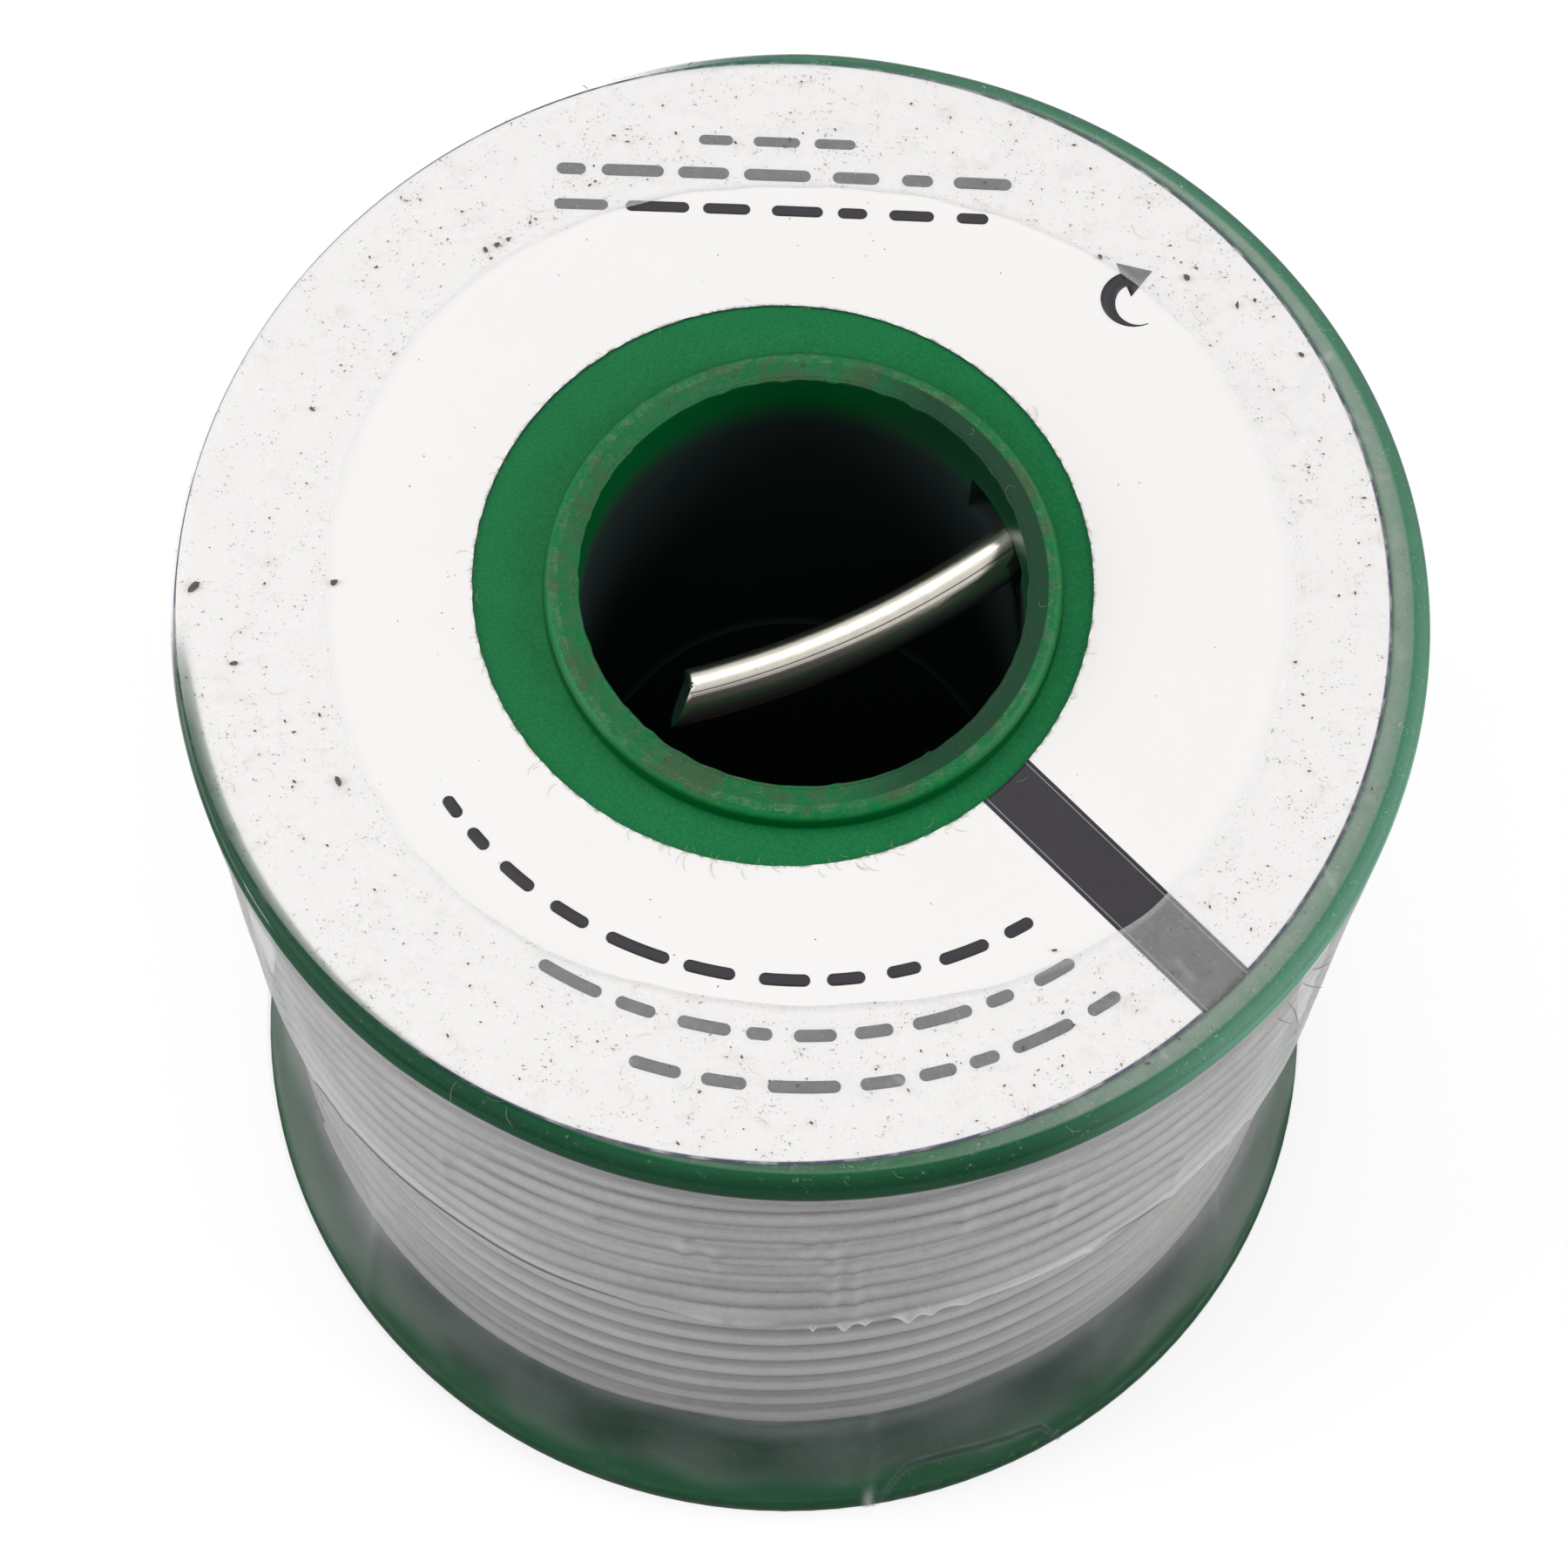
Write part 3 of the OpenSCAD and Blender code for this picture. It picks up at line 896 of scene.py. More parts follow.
def printed_arrow(ink):
    """A plain curved arrow that swells towards its head."""
    steps = 40
    a = np.linspace(360 + ARROW_FROM, ARROW_TO, steps)
    width = ARROW_W * (0.06 + 0.94 * smooth(np.linspace(0, 1, steps), 0, 0.75))
    across = np.array([-0.5, 0, 0.5])[:, None]
    tail = ARROW_AT + round_axis(ARROW_R + across * width, a, 0)[..., :2]
    side = round_axis(1, a[-1], 0)[:2]
    way = np.array((side[1], -side[0]))
    root = ARROW_AT + ARROW_R * side
    head = np.array([[root + way * (ARROW_BACK + (ARROW_HEAD - ARROW_BACK) * s)
                      + side * k * ARROW_HEAD * ARROW_SPREAD * (1 - s * 0.98)
                      for s in np.linspace(0, 1, 6)] for k in (-1, 0, 1)])
    parts = [print_patch(grid[..., 0] * MM, grid[..., 1] * MM) for grid in (tail, head)]
    points, faces = joined(parts)
    return new_piece("label_printed_arrow", points, faces, [ink])


# ---------------------------------------------------------------- shrink film
# Creases of the film over the label, in mm: x, y, heading, length, height, width
FACE_CREASES = ((2.2, -22.6, -38, 2.6, 0.10, 0.16), (4.6, -22.4, -52, 2.0, 0.07, 0.14),
                (0.4, -23.6, -60, 1.8, 0.06, 0.14), (-13.6, -19.6, 150, 3.4, 0.06, 0.2),
                (-17.0, -17.2, 120, 3.0, 0.07, 0.18), (-20.0, -14.4, 128, 2.6, 0.05, 0.2),
                (-22.4, -9.8, 100, 3.6, 0.06, 0.16), (-24.3, -3.0, 84, 2.8, 0.05, 0.18),
                (-16.9, 17.2, 38, 2.6, 0.09, 0.18), (-14.6, 19.9, 70, 2.0, 0.06, 0.16),
                (21.8, 10.6, 55, 3.4, 0.10, 0.2), (22.9, 9.2, 20, 2.2, 0.08, 0.18),
                (24.4, -1.8, 75, 3.0, 0.07, 0.16), (23.6, -8.4, 60, 2.0, 0.06, 0.16),
                (12.4, 22.3, 140, 2.4, 0.06, 0.18), (-4.6, 23.9, 170, 2.6, 0.05, 0.2),
                (16.6, -16.6, -60, 1.8, 0.06, 0.16), (-8.2, -23.0, 12, 2.2, 0.05, 0.18),
                (22.9, -11.6, -72, 2.0, 0.08, 0.10), (15.9, -20.6, -54, 1.2, 0.07, 0.10),
                (-18.9, 19.4, 160, 1.6, 0.09, 0.16), (18.5, 11.4, -28, 3.6, 0.10, 0.16),
                (19.6, 12.0, -50, 2.8, 0.08, 0.14), (20.6, 8.6, 10, 2.4, 0.08, 0.16))
# Folds down the skirt: angle, upper end, lower end and height in mm
SKIRT_FOLDS = ((-99, 42.3, 39.0, 0.10), (-96, 41.6, 37.5, 0.08), (-87, 43.0, 40.4, 0.10),
               (-84.6, 42.6, 33.0, 0.11), (-82.2, 40.5, 31.2, 0.08), (-72, 44.5, 41.0, 0.07),
               (-62, 45.0, 38.5, 0.07), (-108, 42.5, 41.0, 0.07), (-125, 40.5, 36.0, 0.07),
               (-46, 36.5, 31.5, 0.08), (-150, 44.0, 33.0, 0.12), (-28, 47.0, 34.0, 0.15),
               (20, 45.0, 33.0, 0.12), (66, 44.0, 31.5, 0.10), (98, 46.0, 36.0, 0.09),
               (131, 43.0, 32.0, 0.12), (170, 44.5, 35.0, 0.10))
# Notches in the skirt's lower edge: angle, depth in mm, width in degrees
EDGE_CUSPS = ((-94.6, 0.55, 0.7), (-88.4, 0.35, 1.6), (-86, 0.75, 0.8), (-82.8, 1.0, 0.7),
              (-80.6, 0.55, 0.6), (-76.2, 1.05, 0.7), (-73.8, 0.6, 0.6), (-70.2, 0.35, 0.8),
              (-56, 0.5, 0.9), (-45.5, 0.6, 0.8), (-37, 0.7, 1.0), (-33, 1.1, 0.8),
              (-147, 0.9, 0.9), (-141, 0.5, 0.8), (-104, 0.3, 1.2), (15, 0.8, 0.9),
              (38, 0.6, 0.8), (77, 0.9, 0.9), (112, 0.7, 0.8), (150, 0.8, 1.0))
FRONT_HUG = -90
BACK_HUG = 88
HUG_SPREAD = 46


def hugging(a):
    """How tightly the film lies on the wire at an angle: it spans the sides of the
    winding and lies close at the front and back."""
    return np.maximum(bump(turned(a, FRONT_HUG), 0, HUG_SPREAD),
                      bump(turned(a, BACK_HUG), 0, HUG_SPREAD))


CLING_LIFT = 0.15
SEEN_LOW = 0.6 * MM


def clinging(a, z):
    """How far the film follows the turns of the wire in and out."""
    return (0.02 + 0.13 * hugging(a)) * MM * wire_rib(a, z)


def between_turns(a, z):
    """1 where the film shows the gap between two turns, seen from above, and 0 elsewhere."""
    return (0.5 - 0.5 * wire_rib(a, z - SEEN_LOW)) ** 1.3 * hugging(a) ** 1.8


def wire_rib(a, z):
    """1 over the middle of a turn of the outer layer, with a narrow dip to -1 between
    turns."""
    middle = COIL_Z + WIRE_PITCH * climb(CROSS_A - LEAD_IN + (a - CROSS_A + LEAD_IN) % 360)
    return 2 * np.abs(np.cos((z - middle) / WIRE_PITCH * math.pi)) ** 0.8 - 1


def per_side(veil):
    """How solid each of the film's two sides is, for the veil that both give."""
    return 1 - np.sqrt(1 - np.clip(veil, 0, 0.98))


def film_piece(name, node, finish, grid, values, way=1):
    """A closed film whose outer side is the grid, with named values for its finish. Where
    way is -1 the grid's columns are taken backwards."""
    grid = grid[:, ::way]
    points, faces = closed_sheet(grid, grid - grid_normals(grid) * FILM_T, True)
    piece = new_piece(name, points, faces, [finish])
    for value_name, value in values.items():
        add_value(piece, value_name, np.concatenate([value[:, ::way].ravel()] * 2))
    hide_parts(node)
    return piece


def over_flange(a, opening, face_rows, last_angle):
    """Radius, height over the inner side and share of the way round the rim, as rows
    down a film's outer side by columns round it. It lies on the label and steps down at
    the label's edge, turns round the rim's two edges and leaves the rim at an angle."""
    edge = label_reach(a)
    shares = np.linspace(0, 1, face_rows)[:, None] ** 0.8
    r = opening + (RIM_C - opening) * shares
    on_label = LABEL_GAP + LABEL_T
    gap = FILM_GAP + FILM_T + on_label * (1 - smooth(r, edge, edge + 0.25 * MM))
    rows = [(r, face_h(r) + gap, 0 * r)]
    side_gap = gap[-1:]
    turn = RIM_EDGE + side_gap
    for share in np.linspace(0, 1, 9)[1:]:
        b = math.pi / 2 * (1 - share)
        rows.append((RIM_C + turn * math.cos(b), RIM_T - RIM_EDGE + turn * math.sin(b),
                     0.5 * share + 0 * turn))
    for share in np.linspace(0, 1, 6):
        b = -math.radians(last_angle) * share
        rows.append((RIM_C + turn * math.cos(b), RIM_EDGE + turn * math.sin(b),
                     0.6 + 0.4 * share + 0 * turn))
    return [np.concatenate([row[k] for row in rows]) for k in range(3)]


def pale_edge(a):
    """1 where the skirt's edge is whitened, at the front and right, and 0 elsewhere."""
    return between(a, 258, 266, 300, 308)


def film_skirt(a, top_r, top_z):
    """Radius and height of the upper film's skirt, as rows down it: close to the winding
    at the front and back, in a slant at the sides, down to a ragged edge."""
    t = np.concatenate([np.linspace(0, 0.10, 23)[1:], np.linspace(0.10, 0.985, 70)[1:],
                        (0.990, 0.994, 0.997, 1)])[:, None]
    edge = SKIRT_Z + 0.45 * MM * uneven(a, 0, SEED + 7, 8, (2, 9), (0, 0))
    for place, depth, width in EDGE_CUSPS:
        edge = edge - depth * MM * np.exp(-np.abs(turned(a, place)) / width)
    z = top_z + (edge - top_z) * t
    fall = (top_z - z) / MM
    hug = hugging(a)
    lie = WOUND_R + (CLING_LIFT + 0.12) * MM
    low_r = lie + 0.90 * (1 - hug) * MM
    straight = top_r + (low_r - top_r) * t
    close = lie + (top_r - lie) * np.exp(-fall / 4.2)
    r = straight + (close - straight) * hug * smooth(fall, 0.4, 5)
    r = r + clinging(a, z) * smooth(fall, 1.2, 4.5)
    waves = uneven(a, z, SEED + 8, 12, (4, 22), (0.02, 0.12))
    r = r + (0.02 + 0.05 * (1 - hug)) * MM * waves * smooth(fall, 1, 6)
    for place, high, low, height in SKIRT_FOLDS:
        lean = (z / MM - (high + low) / 2) * 0.12 * math.sin(place)
        ridge = bump(turned(a, place + lean), 0, 0.75)
        ends = between(z / MM, low - 1, low + 0.6, high - 0.8, high + 1)
        r = r + height * 1.3 * MM * ridge * ends
    return r + bump(t, 1, 0.014) * (0.05 + 0.13 * pale_edge(a)) * MM, z


def creases_over(x, y):
    """Height, in mm, of the creases in the film over the label."""
    creased = 0
    for start_x, start_y, heading, length, height, width in FACE_CREASES:
        way = math.radians(heading)
        off_x, off_y = x - start_x * MM, y - start_y * MM
        along = off_x * math.cos(way) + off_y * math.sin(way)
        across = off_y * math.cos(way) - off_x * math.sin(way)
        across = across - 0.10 * MM * np.sin(along / MM * 2.3 + start_x)
        ends = between(along, 0, 0.5 * MM, (length - 0.5) * MM, length * MM)
        creased = creased + height * ends * bump(across, 0, width * MM)
    return creased


def upper_film_values(a, r, z, creased):
    """What the finish of the upper film reads at each of its points."""
    below = (UPPER_Z + RIM_T - z) / MM
    pale = pale_edge(a)
    veil = film_veil_above(a, r, z)
    veil[:len(creased)] += 1.6 * creased
    veil[-2:] += (0.05 + 0.25 * pale)[0]
    grime = np.full(veil.shape, 0.35)
    grime[:len(creased)] = 1
    # A dark line of painted shade along the skirt's edge, except where it is whitened
    drawn = bump(turned(a, -128), 0, 24) + 0.35 * bump(turned(a, -50), 0, 6)
    line = np.zeros(veil.shape)
    line[-3:-1] = (np.minimum(drawn, 1) * (1 - pale))[0]
    far = between(turned(a, 0), -15, 25, 100, 130)
    at_edge = (0.45 - 0.2 * far) * smooth(r, RIM_C - 0.5 * MM, RIM_C + 0.3 * MM)
    at_edge = at_edge + (1 - at_edge) * smooth(below, 0.05, 0.3)
    # At the back left the label covers the rim's edge, so no green shows
    covered = between(a, 92, 112, 183, 200)
    low = green_to(a)
    green = at_edge * (1 - smooth(below, low, low + 0.2)) * (1 - covered)
    edge = label_reach(a)
    rubbed = smooth(r, edge + 0.15 * MM, edge + 0.5 * MM) * (below < 0.9)
    # Painted shade between the turns beneath the skirt
    trough_shade = between_turns(a, z) * smooth(below, 2, 3.5) * (1 + 0.4 * bump(below, 4, 4))
    frosted = between(turned(a, 0), -72, -42, 100, 125) + 0 * green
    return {"milk": per_side(veil), "grime": grime, "line": line, "green": green,
            "trough_shade": trough_shade, "rubbed": rubbed, "frosted": frosted}


def upper_film(finish):
    """Upper film: a ring on the label, round the rim, and a skirt that hangs down over
    the winding to a ragged edge."""
    a = FILM_ANGLES
    over_r, over_h, over_t = over_flange(a, film_opening(a), 44, 8)
    skirt_r, skirt_z = film_skirt(a, over_r[-1:], UPPER_Z + over_h[-1:])
    inward = over_r - over_r[:1]
    dents = 0.014 * MM * uneven(a, over_r, SEED + 10, 12, (3, 24), (0.05, 0.3))
    lift = np.where(over_t > 0, 0, np.maximum(dents, -0.03 * MM) * smooth(inward, 0, 2 * MM))
    lift = lift + 0.05 * MM * bump(inward, 0, 0.25 * MM)
    turn = np.radians(a)
    creased = creases_over(over_r * np.cos(turn), over_r * np.sin(turn))
    lift = lift + creased * MM * (over_t == 0)
    r = np.concatenate([over_r, skirt_r])
    z = np.concatenate([UPPER_Z + over_h + lift, skirt_z])
    return film_piece("upper_film", "upper_shrink_film", finish, round_axis(r, a, z),
                      upper_film_values(a, r, z, creased))


def film_opening(a):
    """Radius of the upper film's ragged opening, a little square and off centre."""
    turn = np.radians(a)
    lobes = 0.67 * np.cos(2 * turn) - 0.3 * np.cos(4 * turn)
    off = 0.2 * np.cos(turn) + 0.45 * np.sin(turn)
    ragged = 0.05 * uneven(a, 0, SEED + 9, 7, (5, 40), (0, 0))
    return FILM_OPEN_R + (lobes + off + ragged) * MM


def green_to(a):
    """How far down, in mm from the rim's upper side, the film shows the rim's green. At
    the front it clings round the rim's lower edge."""
    return 1.05 + 0.12 * between(turned(a, 0), -172, -125, -60, -18)


def film_veil_above(a, r, z):
    """How milky the upper film is: most on the skirt, least where it lies tight round
    the rim, with a whiter line along its opening."""
    face = 0.20 + 0.22 * bump(r, film_opening(a), 0.10 * MM)
    below = (UPPER_Z + RIM_T - z) / MM
    edge = label_reach(a)
    sides = between(turned(a, 0), -84, -52, 78, 104) + 0.5 * bump(turned(a, 180), 0, 40)
    loose = 1 - smooth(r, edge + 0.3 * MM, edge + 1.5 * MM)
    rim_top = 0.006 + 0.085 * sides + (0.035 + 0.14 * sides) * loose
    face = face * (1 - 0.7 * bump(r, edge, 0.15 * MM))
    veil = face + (rim_top - face) * smooth(r, edge, edge + 0.2 * MM) * (z > UPPER_Z)
    tight = smooth(r, RIM_C - 0.3 * MM, RIM_C + 0.3 * MM)
    spans = 1 - hugging(a)
    low = green_to(a)
    veil = veil + (0.02 + 0.06 * spans - veil) * tight * (below < low + 0.2)
    skirt = 0.42 + 0.40 * spans
    folds = wire_rib(a, z - SEEN_LOW) * smooth(below, 1.5, 4)
    skirt = skirt + (0.16 - 0.13 * spans) * folds
    skirt = skirt + 0.04 * uneven(a, z, SEED + 12, 10, (5, 30), (0.02, 0.1))
    skirt = skirt + 0.16 * bump(below, low + 0.25, 0.16)
    return veil + (skirt - veil) * smooth(below, low, low + 0.2)


# Folds where the lower film spans to the winding: angle, height in mm, width in degrees
FOOT_FOLDS = ((-79, 0.22, 0.8), (-140, 0.30, 1.2), (-118, 0.10, 1.4), (-52, 0.14, 1.5),
              (-33, 0.25, 1.0), (18, 0.25, 1.2), (70, 0.2, 1.0), (125, 0.25, 1.2),
              (175, 0.2, 1.2))
LOWER_FILM_TOP = 34.6 * MM


def lower_film(finish):
    """Lower film: round the lower rim, up in a slant to the foot of the outer layer, and
    on up the winding under the skirt."""
    a, rows = FILM_ANGLES, 84
    over_r, over_h, _ = over_flange(a, film_opening(a), 16, 14)
    over_z = INNER_Z - over_h
    low_r, low_z = over_r[-1:], over_z[-1:]
    foot = tent_foot(a)
    edge = LOWER_FILM_TOP + 0.4 * MM * uneven(a, 0, SEED + 13, 8, (2, 12), (0, 0))
    z = low_z + (edge - low_z) * np.linspace(0, 1, rows + 1)[1:, None]
    lie = WOUND_R + CLING_LIFT * MM
    slant = low_r + (lie - low_r) * np.clip((z - low_z) / (foot - low_z), 0, 1)
    r = np.maximum(slant, lie) + 0.06 * MM * bump(z, foot, 2 * MM)
    r = r + clinging(a, z) * smooth(z, foot, foot + 2 * MM)
    tent = between(z, low_z, low_z + 3 * MM, foot - 1 * MM, foot + 3 * MM)
    r = r + 0.10 * MM * uneven(a, z, SEED + 14, 12, (4, 26), (0.01, 0.08)) * tent
    for place, height, width in FOOT_FOLDS:
        r = r + height * MM * bump(turned(a, place), 0, width) * tent
    r = np.concatenate([over_r, r])
    z = np.concatenate([over_z, z])
    veil = film_veil_below(a, r, z)
    line = 0.8 * bump(z, flange_line(a), 0.22 * MM) * smooth(z, 1 * MM, 2 * MM)
    # Painted shade between the turns beneath the film, above its foot
    values = {"milk": per_side(veil), "line": line, "grime": np.full(veil.shape, 0.25),
              "trough_shade": between_turns(a, z) * smooth(z, tent_foot(a), tent_foot(a) + 3 * MM)}
    return film_piece("lower_film", "lower_shrink_film", finish, round_axis(r, a, z),
                      values, way=-1)


def flange_line(a):
    """Height of the dark wavy line that the lower film shows over its flange."""
    return (5.2 + 0.8 * np.sin(np.radians(a) * 9) - 9 * (1 - smooth(turned(a, -66), -18, -8))
            - 9 * smooth(turned(a, -66), 6, 14)) * MM


def tent_foot(a):
    """Height at which the lower film reaches the winding: higher at the sides."""
    return (12 + 5 * (1 - hugging(a))) * MM


def film_veil_below(a, r, z):
    """How milky the lower film is: clear where it lies tight round the rim, milky where
    it spans to the winding, with a whitened fold."""
    wander = 0.5 * MM * uneven(a, 0, SEED + 15, 9, (5, 30), (0, 0))
    spans = smooth(z, 4.0 * MM + wander, 6.4 * MM + wander)
    off = np.minimum(np.abs(turned(a, FRONT_HUG)), np.abs(turned(a, BACK_HUG)))
    at_side = smooth(off, 34, 66)
    foot = tent_foot(a)
    veil = 0.033 + 0.01 * at_side + (0.06 + 0.10 * at_side) * spans
    veil = veil + 0.04 * bump(off, 45, 16) * smooth(z, 6 * MM, 10 * MM)
    veil = veil + (0.15 + 0.04 * at_side) * smooth(z, foot - (2 + 3 * at_side) * MM, foot + MM)
    veil = veil + 0.09 * wire_rib(a, z - SEEN_LOW) * smooth(z, foot, foot + 3 * MM)
    veil = veil + 0.03 * uneven(a, z, SEED + 16, 9, (5, 24), (0.02, 0.1)) * spans
    fold = bump(turned(a, -79 + 0 * z), 0, 0.5) * (1 - smooth(z, 3 * MM, 5.5 * MM)) * (z > 1 * MM)
    lean = (z / MM - 18) * 0.35
    side_fold = bump(turned(a, -139.5 + lean), 0, 4.5) * smooth(z, 9 * MM, 14 * MM)
    return veil + 0.45 * fold + 0.14 * side_fold * (1 - smooth(z, 21 * MM, 28 * MM))


# ---------------------------------------------------------------- dirt and fibres
def flake(centre, size, draw):
    """A small lump of dirt: a squashed, uneven seven-sided crumb."""
    sides = 7
    spin = math.radians(draw.uniform(0, 360))
    stretch = draw.uniform(1, 2.2)
    points = []
    for ring, height in ((1.0, 0.0), (0.75, 0.35)):
        for j in range(sides):
            a = math.radians(360 * j / sides)
            reach = size * ring * draw.uniform(0.6, 1.2)
            u, v = reach * math.cos(a) * stretch, reach * math.sin(a)
            points.append((centre[0] + u * math.cos(spin) - v * math.sin(spin),
                           centre[1] + u * math.sin(spin) + v * math.cos(spin),
                           centre[2] + size * height))
    faces = [tuple(range(sides - 1, -1, -1)), tuple(range(sides, 2 * sides))]
    for j in range(sides):
        k = (j + 1) % sides
        faces.append((j, k, sides + k, sides + j))
    return points, faces


# The larger marks on the upper face, in mm: (x, y, size)
FACE_MARKS = ((-14.6, 16.9, 0.16), (-14.1, 17.2, 0.12), (-15.1, 16.6, 0.10),
              (-27.0, -0.9, 0.17), (-20.8, -0.55, 0.14), (-19.9, -10.1, 0.15),
              (13.0, 17.5, 0.13), (17.0, 16.6, 0.16), (19.3, 15.3, 0.10),
              (20.1, 15.6, 0.08), (22.2, 12.9, 0.11), (-22.4, 8.1, 0.09),
              (-24.9, -4.6, 0.11), (24.4, -9.4, 0.10), (11.4, -16.7, 0.07))


def on_label(r):
    """Height of the upper label's face at a radius."""
    return UPPER_Z + float(face_h(r)) + LABEL_GAP + LABEL_T


def on_film(r):
    """Height of the upper film's outer side over the label at a radius."""
    return on_label(r) + FILM_GAP + FILM_T


def scattered(draw, count, low, high):
    """Seeded places (x, y, radius) over a ring from radius low to high."""
    for _ in range(count):
        a = draw.uniform(0, 2 * math.pi)
        r = draw.uniform(low, high)
        yield r * math.cos(a), r * math.sin(a), r


def dirt(finish):
    """Crumbs of dirt on the film over the upper face and rim, and a few on the label."""
    draw = random.Random(SEED + 20)
    parts = []
    for x, y, size in FACE_MARKS:
        at = (x * MM, y * MM, on_film(math.hypot(x, y) * MM))
        parts.append(flake(at, size * MM, draw))
    for x, y, r in scattered(draw, 300, 21.8 * MM, 26.6 * MM):
        size = draw.choice((0.025, 0.03, 0.04, 0.06)) * MM
        parts.append(flake((x, y, on_film(r)), size, draw))
    for x, y, r in scattered(draw, 46, 14.6 * MM, 21.2 * MM):
        parts.append(flake((x, y, on_label(r)), draw.choice((0.02, 0.03)) * MM, draw))
    points, faces = joined(parts)
    return new_piece("dirt_crumbs", points, faces, [finish], sharp=True)


def curl(start, heading, length, bend, draw):
    """Places along a short wandering thread that lies flat."""
    steps = 14
    points = [start]
    x, y, z = start
    for _ in range(steps):
        heading += bend * draw.uniform(0.2, 1.6)
        x += length / steps * math.cos(heading)
        y += length / steps * math.sin(heading)
        points.append((x, y, z))
    return points


FIBRE_R = 0.007 * MM
HAIR_R = 0.009 * MM
TATTER_R = 0.025 * MM
# Tatters of film on the far rim and at the right of the skirt: angle, radius, height and
# length in mm, and which way they lean
TATTERS = ((113, 27.95, 54.0, 0.40, 8), (103, 27.9, 54.0, 0.30, -20),
           (-35, 27.6, 49.8, 0.8, 35), (-36.6, 27.5, 48.8, 1.0, -30),
           (-34.0, 27.65, 50.6, 0.5, 60), (-37.8, 27.5, 48.0, 0.6, 20))
# Hairs on the front of the rim: angle, and length in mm
RIM_HAIRS = ((-120.4, 1.2), (-117.5, 0.9), (-115.3, 1.0), (-64, 0.8), (-80, 0.6))


def fibres(finish):
    """Fine fibres caught on the hub ring, the label's hole and the film."""
    draw = random.Random(SEED + 21)
    parts = []
    for x, y, _ in scattered(draw, 16, BORE_R + 0.3 * MM, BARREL_R - 0.4 * MM):
        path = curl((x, y, SPOOL_H + 0.012 * MM), draw.uniform(0, 6.3),
                    draw.uniform(0.3, 0.8) * MM, 0.25, draw)
        parts.append(thread_along(path, FIBRE_R))
    for _ in range(70):
        a = math.radians(draw.choice((draw.uniform(0, 360), draw.gauss(-80, 22))))
        r = LABEL_HOLE_R + draw.uniform(-0.35, 0.25) * MM
        x, y = r * math.cos(a) - LABEL_LEFT, r * math.sin(a) + HOLE_BACK
        start = (x, y, on_label(math.hypot(x, y)) + 0.015 * MM)
        path = curl(start, a + draw.uniform(-1, 1), draw.uniform(0.25, 0.9) * MM, 0.12, draw)
        parts.append(thread_along(path, FIBRE_R))
    for x, y, r in scattered(draw, 60, 21.8 * MM, 27.0 * MM):
        path = curl((x, y, on_film(r) + 0.01 * MM), draw.uniform(0, 6.3),
                    draw.uniform(0.4, 1.5) * MM, 0.16, draw)
        parts.append(thread_along(path, FIBRE_R))
    share = np.linspace(0, 1, 8)
    for a, r, z, length, lean in TATTERS:
        path = round_axis((r + length * share) * MM, a + lean * 0.03 * share ** 2,
                          (z - 0.5 * length * share ** 2) * MM)
        parts.append(thread_along(path, TATTER_R))
    for a, length in RIM_HAIRS:
        way, r = math.radians(a), 27.3 * MM
        start = (r * math.cos(way), r * math.sin(way), on_film(r) - 0.08 * MM)
        path = curl(start, way + draw.uniform(-1.2, 1.2), length * MM, 0.1, draw)
        parts.append(thread_along(path, HAIR_R))
    points, faces = joined(parts)
    return new_piece("caught_fibres", points, faces, [finish])


# ---------------------------------------------------------------- floor and light
FLOOR_W = 3.0
FLOOR_LIGHT = 0.30
FLOOR_SEEN = 1.06
WORLD_LIGHT = 0.26
GLOSS_IN_FRONT = 0.06
# Name, place in metres, width in metres and power in watts
SOFTBOXES = (("back_softbox", (-0.25, 0.40, 0.80), 0.60, 1.6),
             ("top_softbox", (0.0, -0.28, 0.92), 0.50, 1.6),
             ("left_softbox", (-0.80, -0.15, 0.42), 0.50, 4.6),
             ("right_softbox", (0.80, -0.15, 0.42), 0.50, 4.6))


def seen_directly(tree):
    """1 for what the camera, a gloss or a clear surface sees, and 0 for light."""
    path = make_node(tree, "ShaderNodeLightPath", output="Is Camera Ray")
    glossy, through = path.beside("Is Glossy Ray"), path.beside("Is Transmission Ray")
    return path.sum("MAXIMUM", glossy).sum("MAXIMUM", through)


def floor():
    """A pale floor under the spool that the camera sees as white."""
    bpy.ops.mesh.primitive_plane_add(size=FLOOR_W, location=(0, 0, -0.02 * MM))
    plane = bpy.context.object
    plane.name = "floor"
    material = bpy.data.materials.new("pale_floor")
    tree = bare_tree(material)
    camera_only = make_node(tree, "ShaderNodeLightPath", output="Is Camera Ray")
    pale = (FLOOR_LIGHT, FLOOR_LIGHT, FLOOR_LIGHT, 1)
    matt = make_node(tree, "ShaderNodeBsdfDiffuse", {"Color": pale})
    glow = make_node(tree, "ShaderNodeEmission", {
        "Color": (1, 1, 1, 1), "Strength": camera_only * (FLOOR_SEEN - FLOOR_LIGHT)})
    both = make_node(tree, "ShaderNodeAddShader", {0: matt, 1: glow})
    make_node(tree, "ShaderNodeOutputMaterial", {"Surface": both})
    plane.data.materials.append(material)


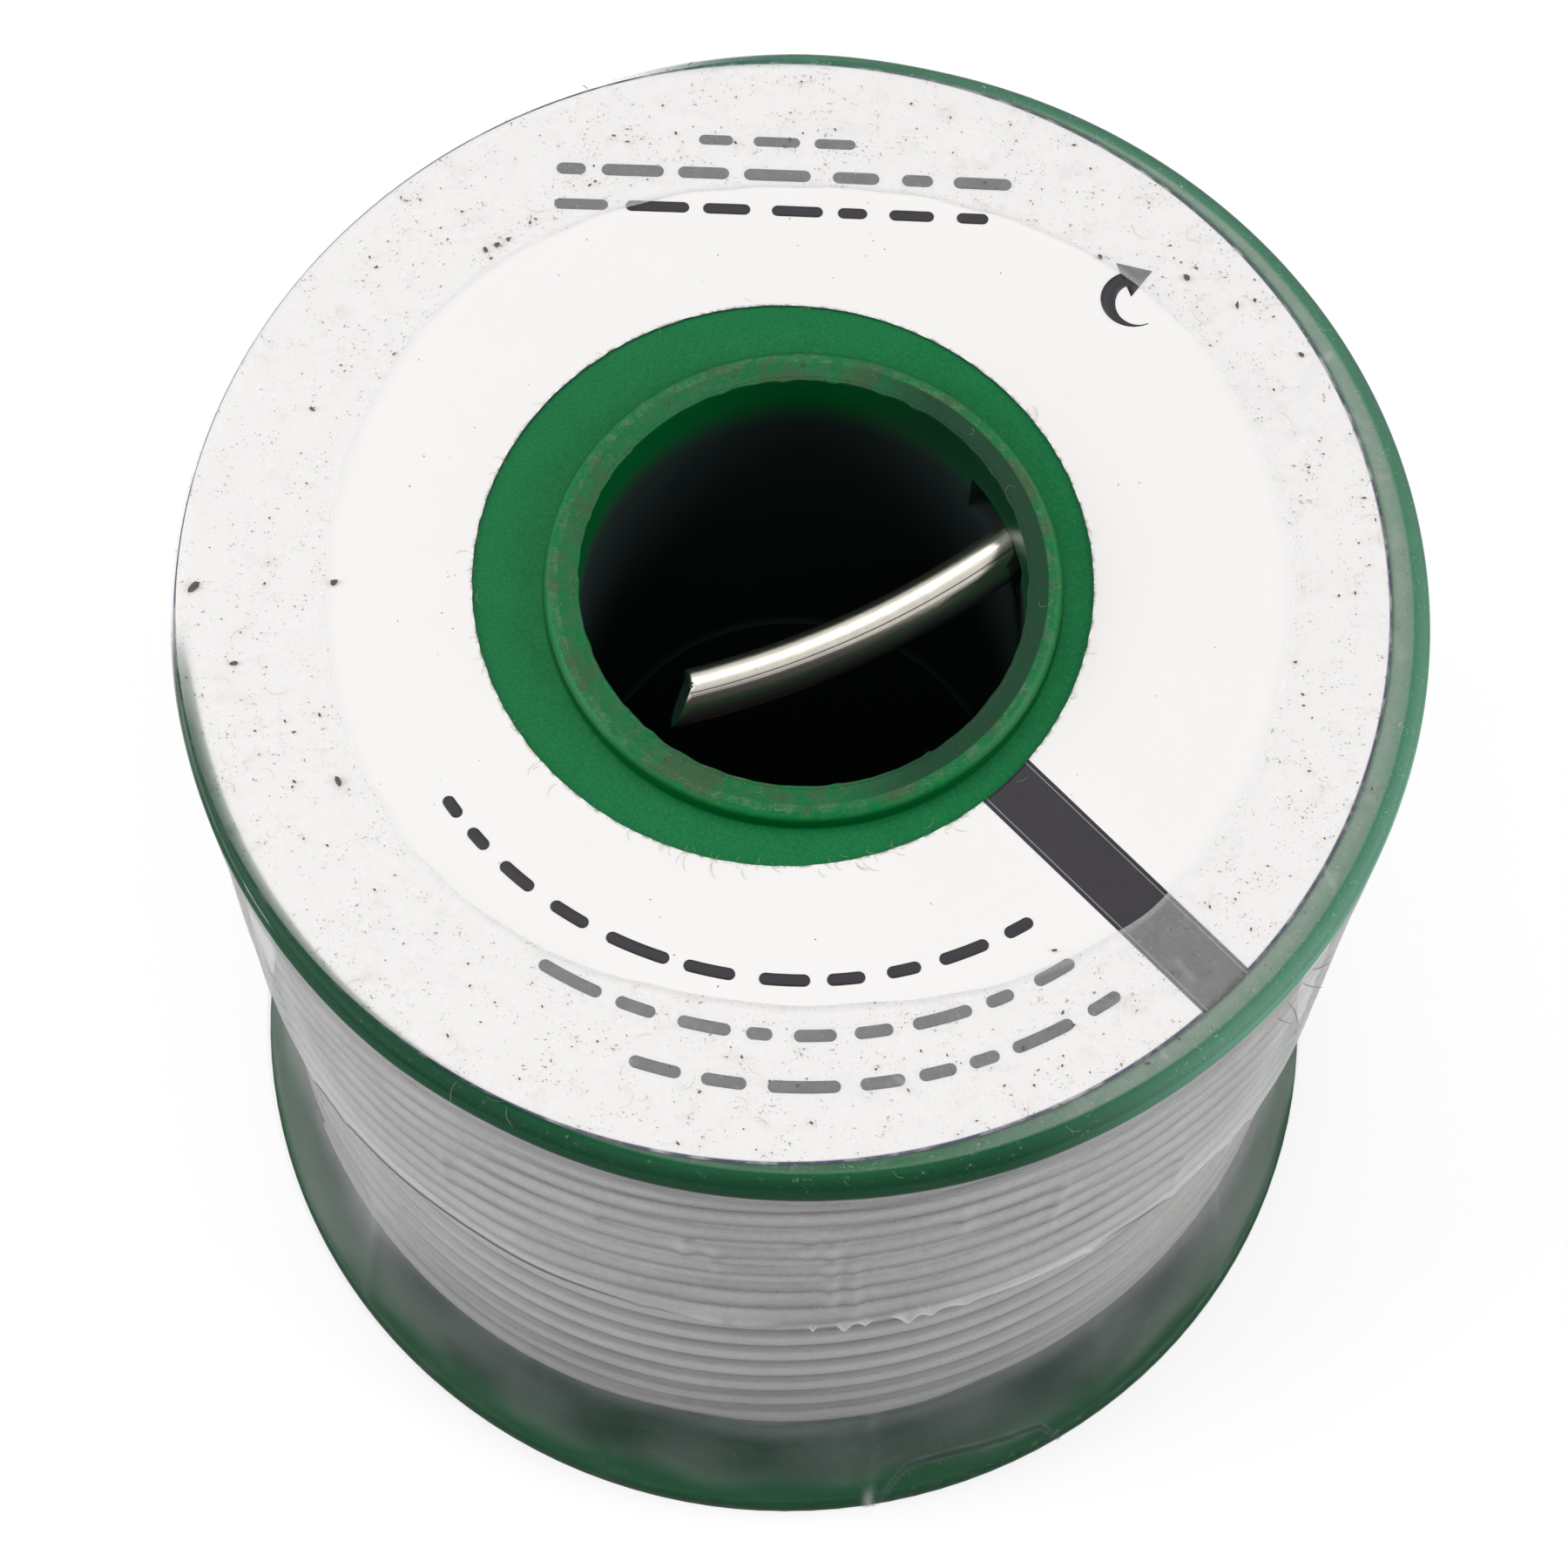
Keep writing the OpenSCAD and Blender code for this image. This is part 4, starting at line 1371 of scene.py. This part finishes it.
def world():
    """White surroundings that give little light and, in a gloss, are dark in front."""
    made = bpy.data.worlds.new("studio")
    bpy.context.scene.world = made
    tree = bare_tree(made)
    way = make_node(tree, "ShaderNodeTexCoord", output="Generated")
    towards_back = make_node(tree, "ShaderNodeSeparateXYZ", {0: way}, "Y")
    gloss = towards_back.step(-0.36, -0.20) * (1 - GLOSS_IN_FRONT) + GLOSS_IN_FRONT
    path = make_node(tree, "ShaderNodeLightPath", output="Is Glossy Ray")
    strength = seen_directly(tree) * (1 - WORLD_LIGHT) + WORLD_LIGHT
    strength = strength * (path * (gloss - 1) + 1)
    sky = make_node(tree, "ShaderNodeBackground", {"Color": (1, 1, 1, 1), "Strength": strength})
    make_node(tree, "ShaderNodeOutputWorld", {"Surface": sky})


def softbox(name, at, width, watts):
    """A square lamp that faces the spool. The top one is not seen in glosses."""
    data = bpy.data.lights.new(name, "AREA")
    data.shape = "SQUARE"
    data.size = width
    data.energy = watts
    lamp = bpy.data.objects.new(name, data)
    bpy.context.scene.collection.objects.link(lamp)
    lamp.location = at
    aim = Vector((0, 0, MID_Z)) - Vector(at)
    lamp.rotation_mode = "QUATERNION"
    lamp.rotation_quaternion = aim.to_track_quat("-Z", "Y")
    lamp.visible_glossy = name != "top_softbox"


# ---------------------------------------------------------------- the spool
place_camera()
plastic = moulded_green()
bright_wire = drawn_solder()
dull_wire = wound_solder()
cut_end = cut_solder()
paper = label_paper()
cut_edge = label_edge()
dark_ink = printed_ink("dark_print", rgb(44, 41, 46), rgb(54, 51, 56))
grey_ink = printed_ink("grey_keyline", rgb(128, 126, 130), rgb(140, 138, 142))
film = shrink_film()
crumb = grime_finish("brown_grime", rgb(58, 50, 44), rgb(120, 110, 98))
fibre = grime_finish("pale_fibre", rgb(128, 112, 80), rgb(186, 176, 150))

shown_solids = {"upper_spool_half": plastic, "lower_spool_half": plastic}
for layer in range(1, 6):
    shown_solids[f"solder_layer_{layer}"] = dull_wire
for node, finish in shown_solids.items():
    frame["nodes"][node].data.materials.clear()
    frame["nodes"][node].data.materials.append(finish)

mouth_flash(plastic)
outer_layer(dull_wire)
wire_start(bright_wire, cut_end)
label_ring("upper_paper_label", "upper_label", paper, cut_edge, True)
label_ring("lower_paper_label", "lower_label", paper, cut_edge, False)
printed_bar(dark_ink, grey_ink)
printed_dashes(dark_ink)
printed_arrow(dark_ink)
upper_film(film)
lower_film(film)
dirt(crumb)
fibres(fibre)

floor()
world()
for box in SOFTBOXES:
    softbox(*box)
bpy.context.scene.view_settings.view_transform = "Standard"
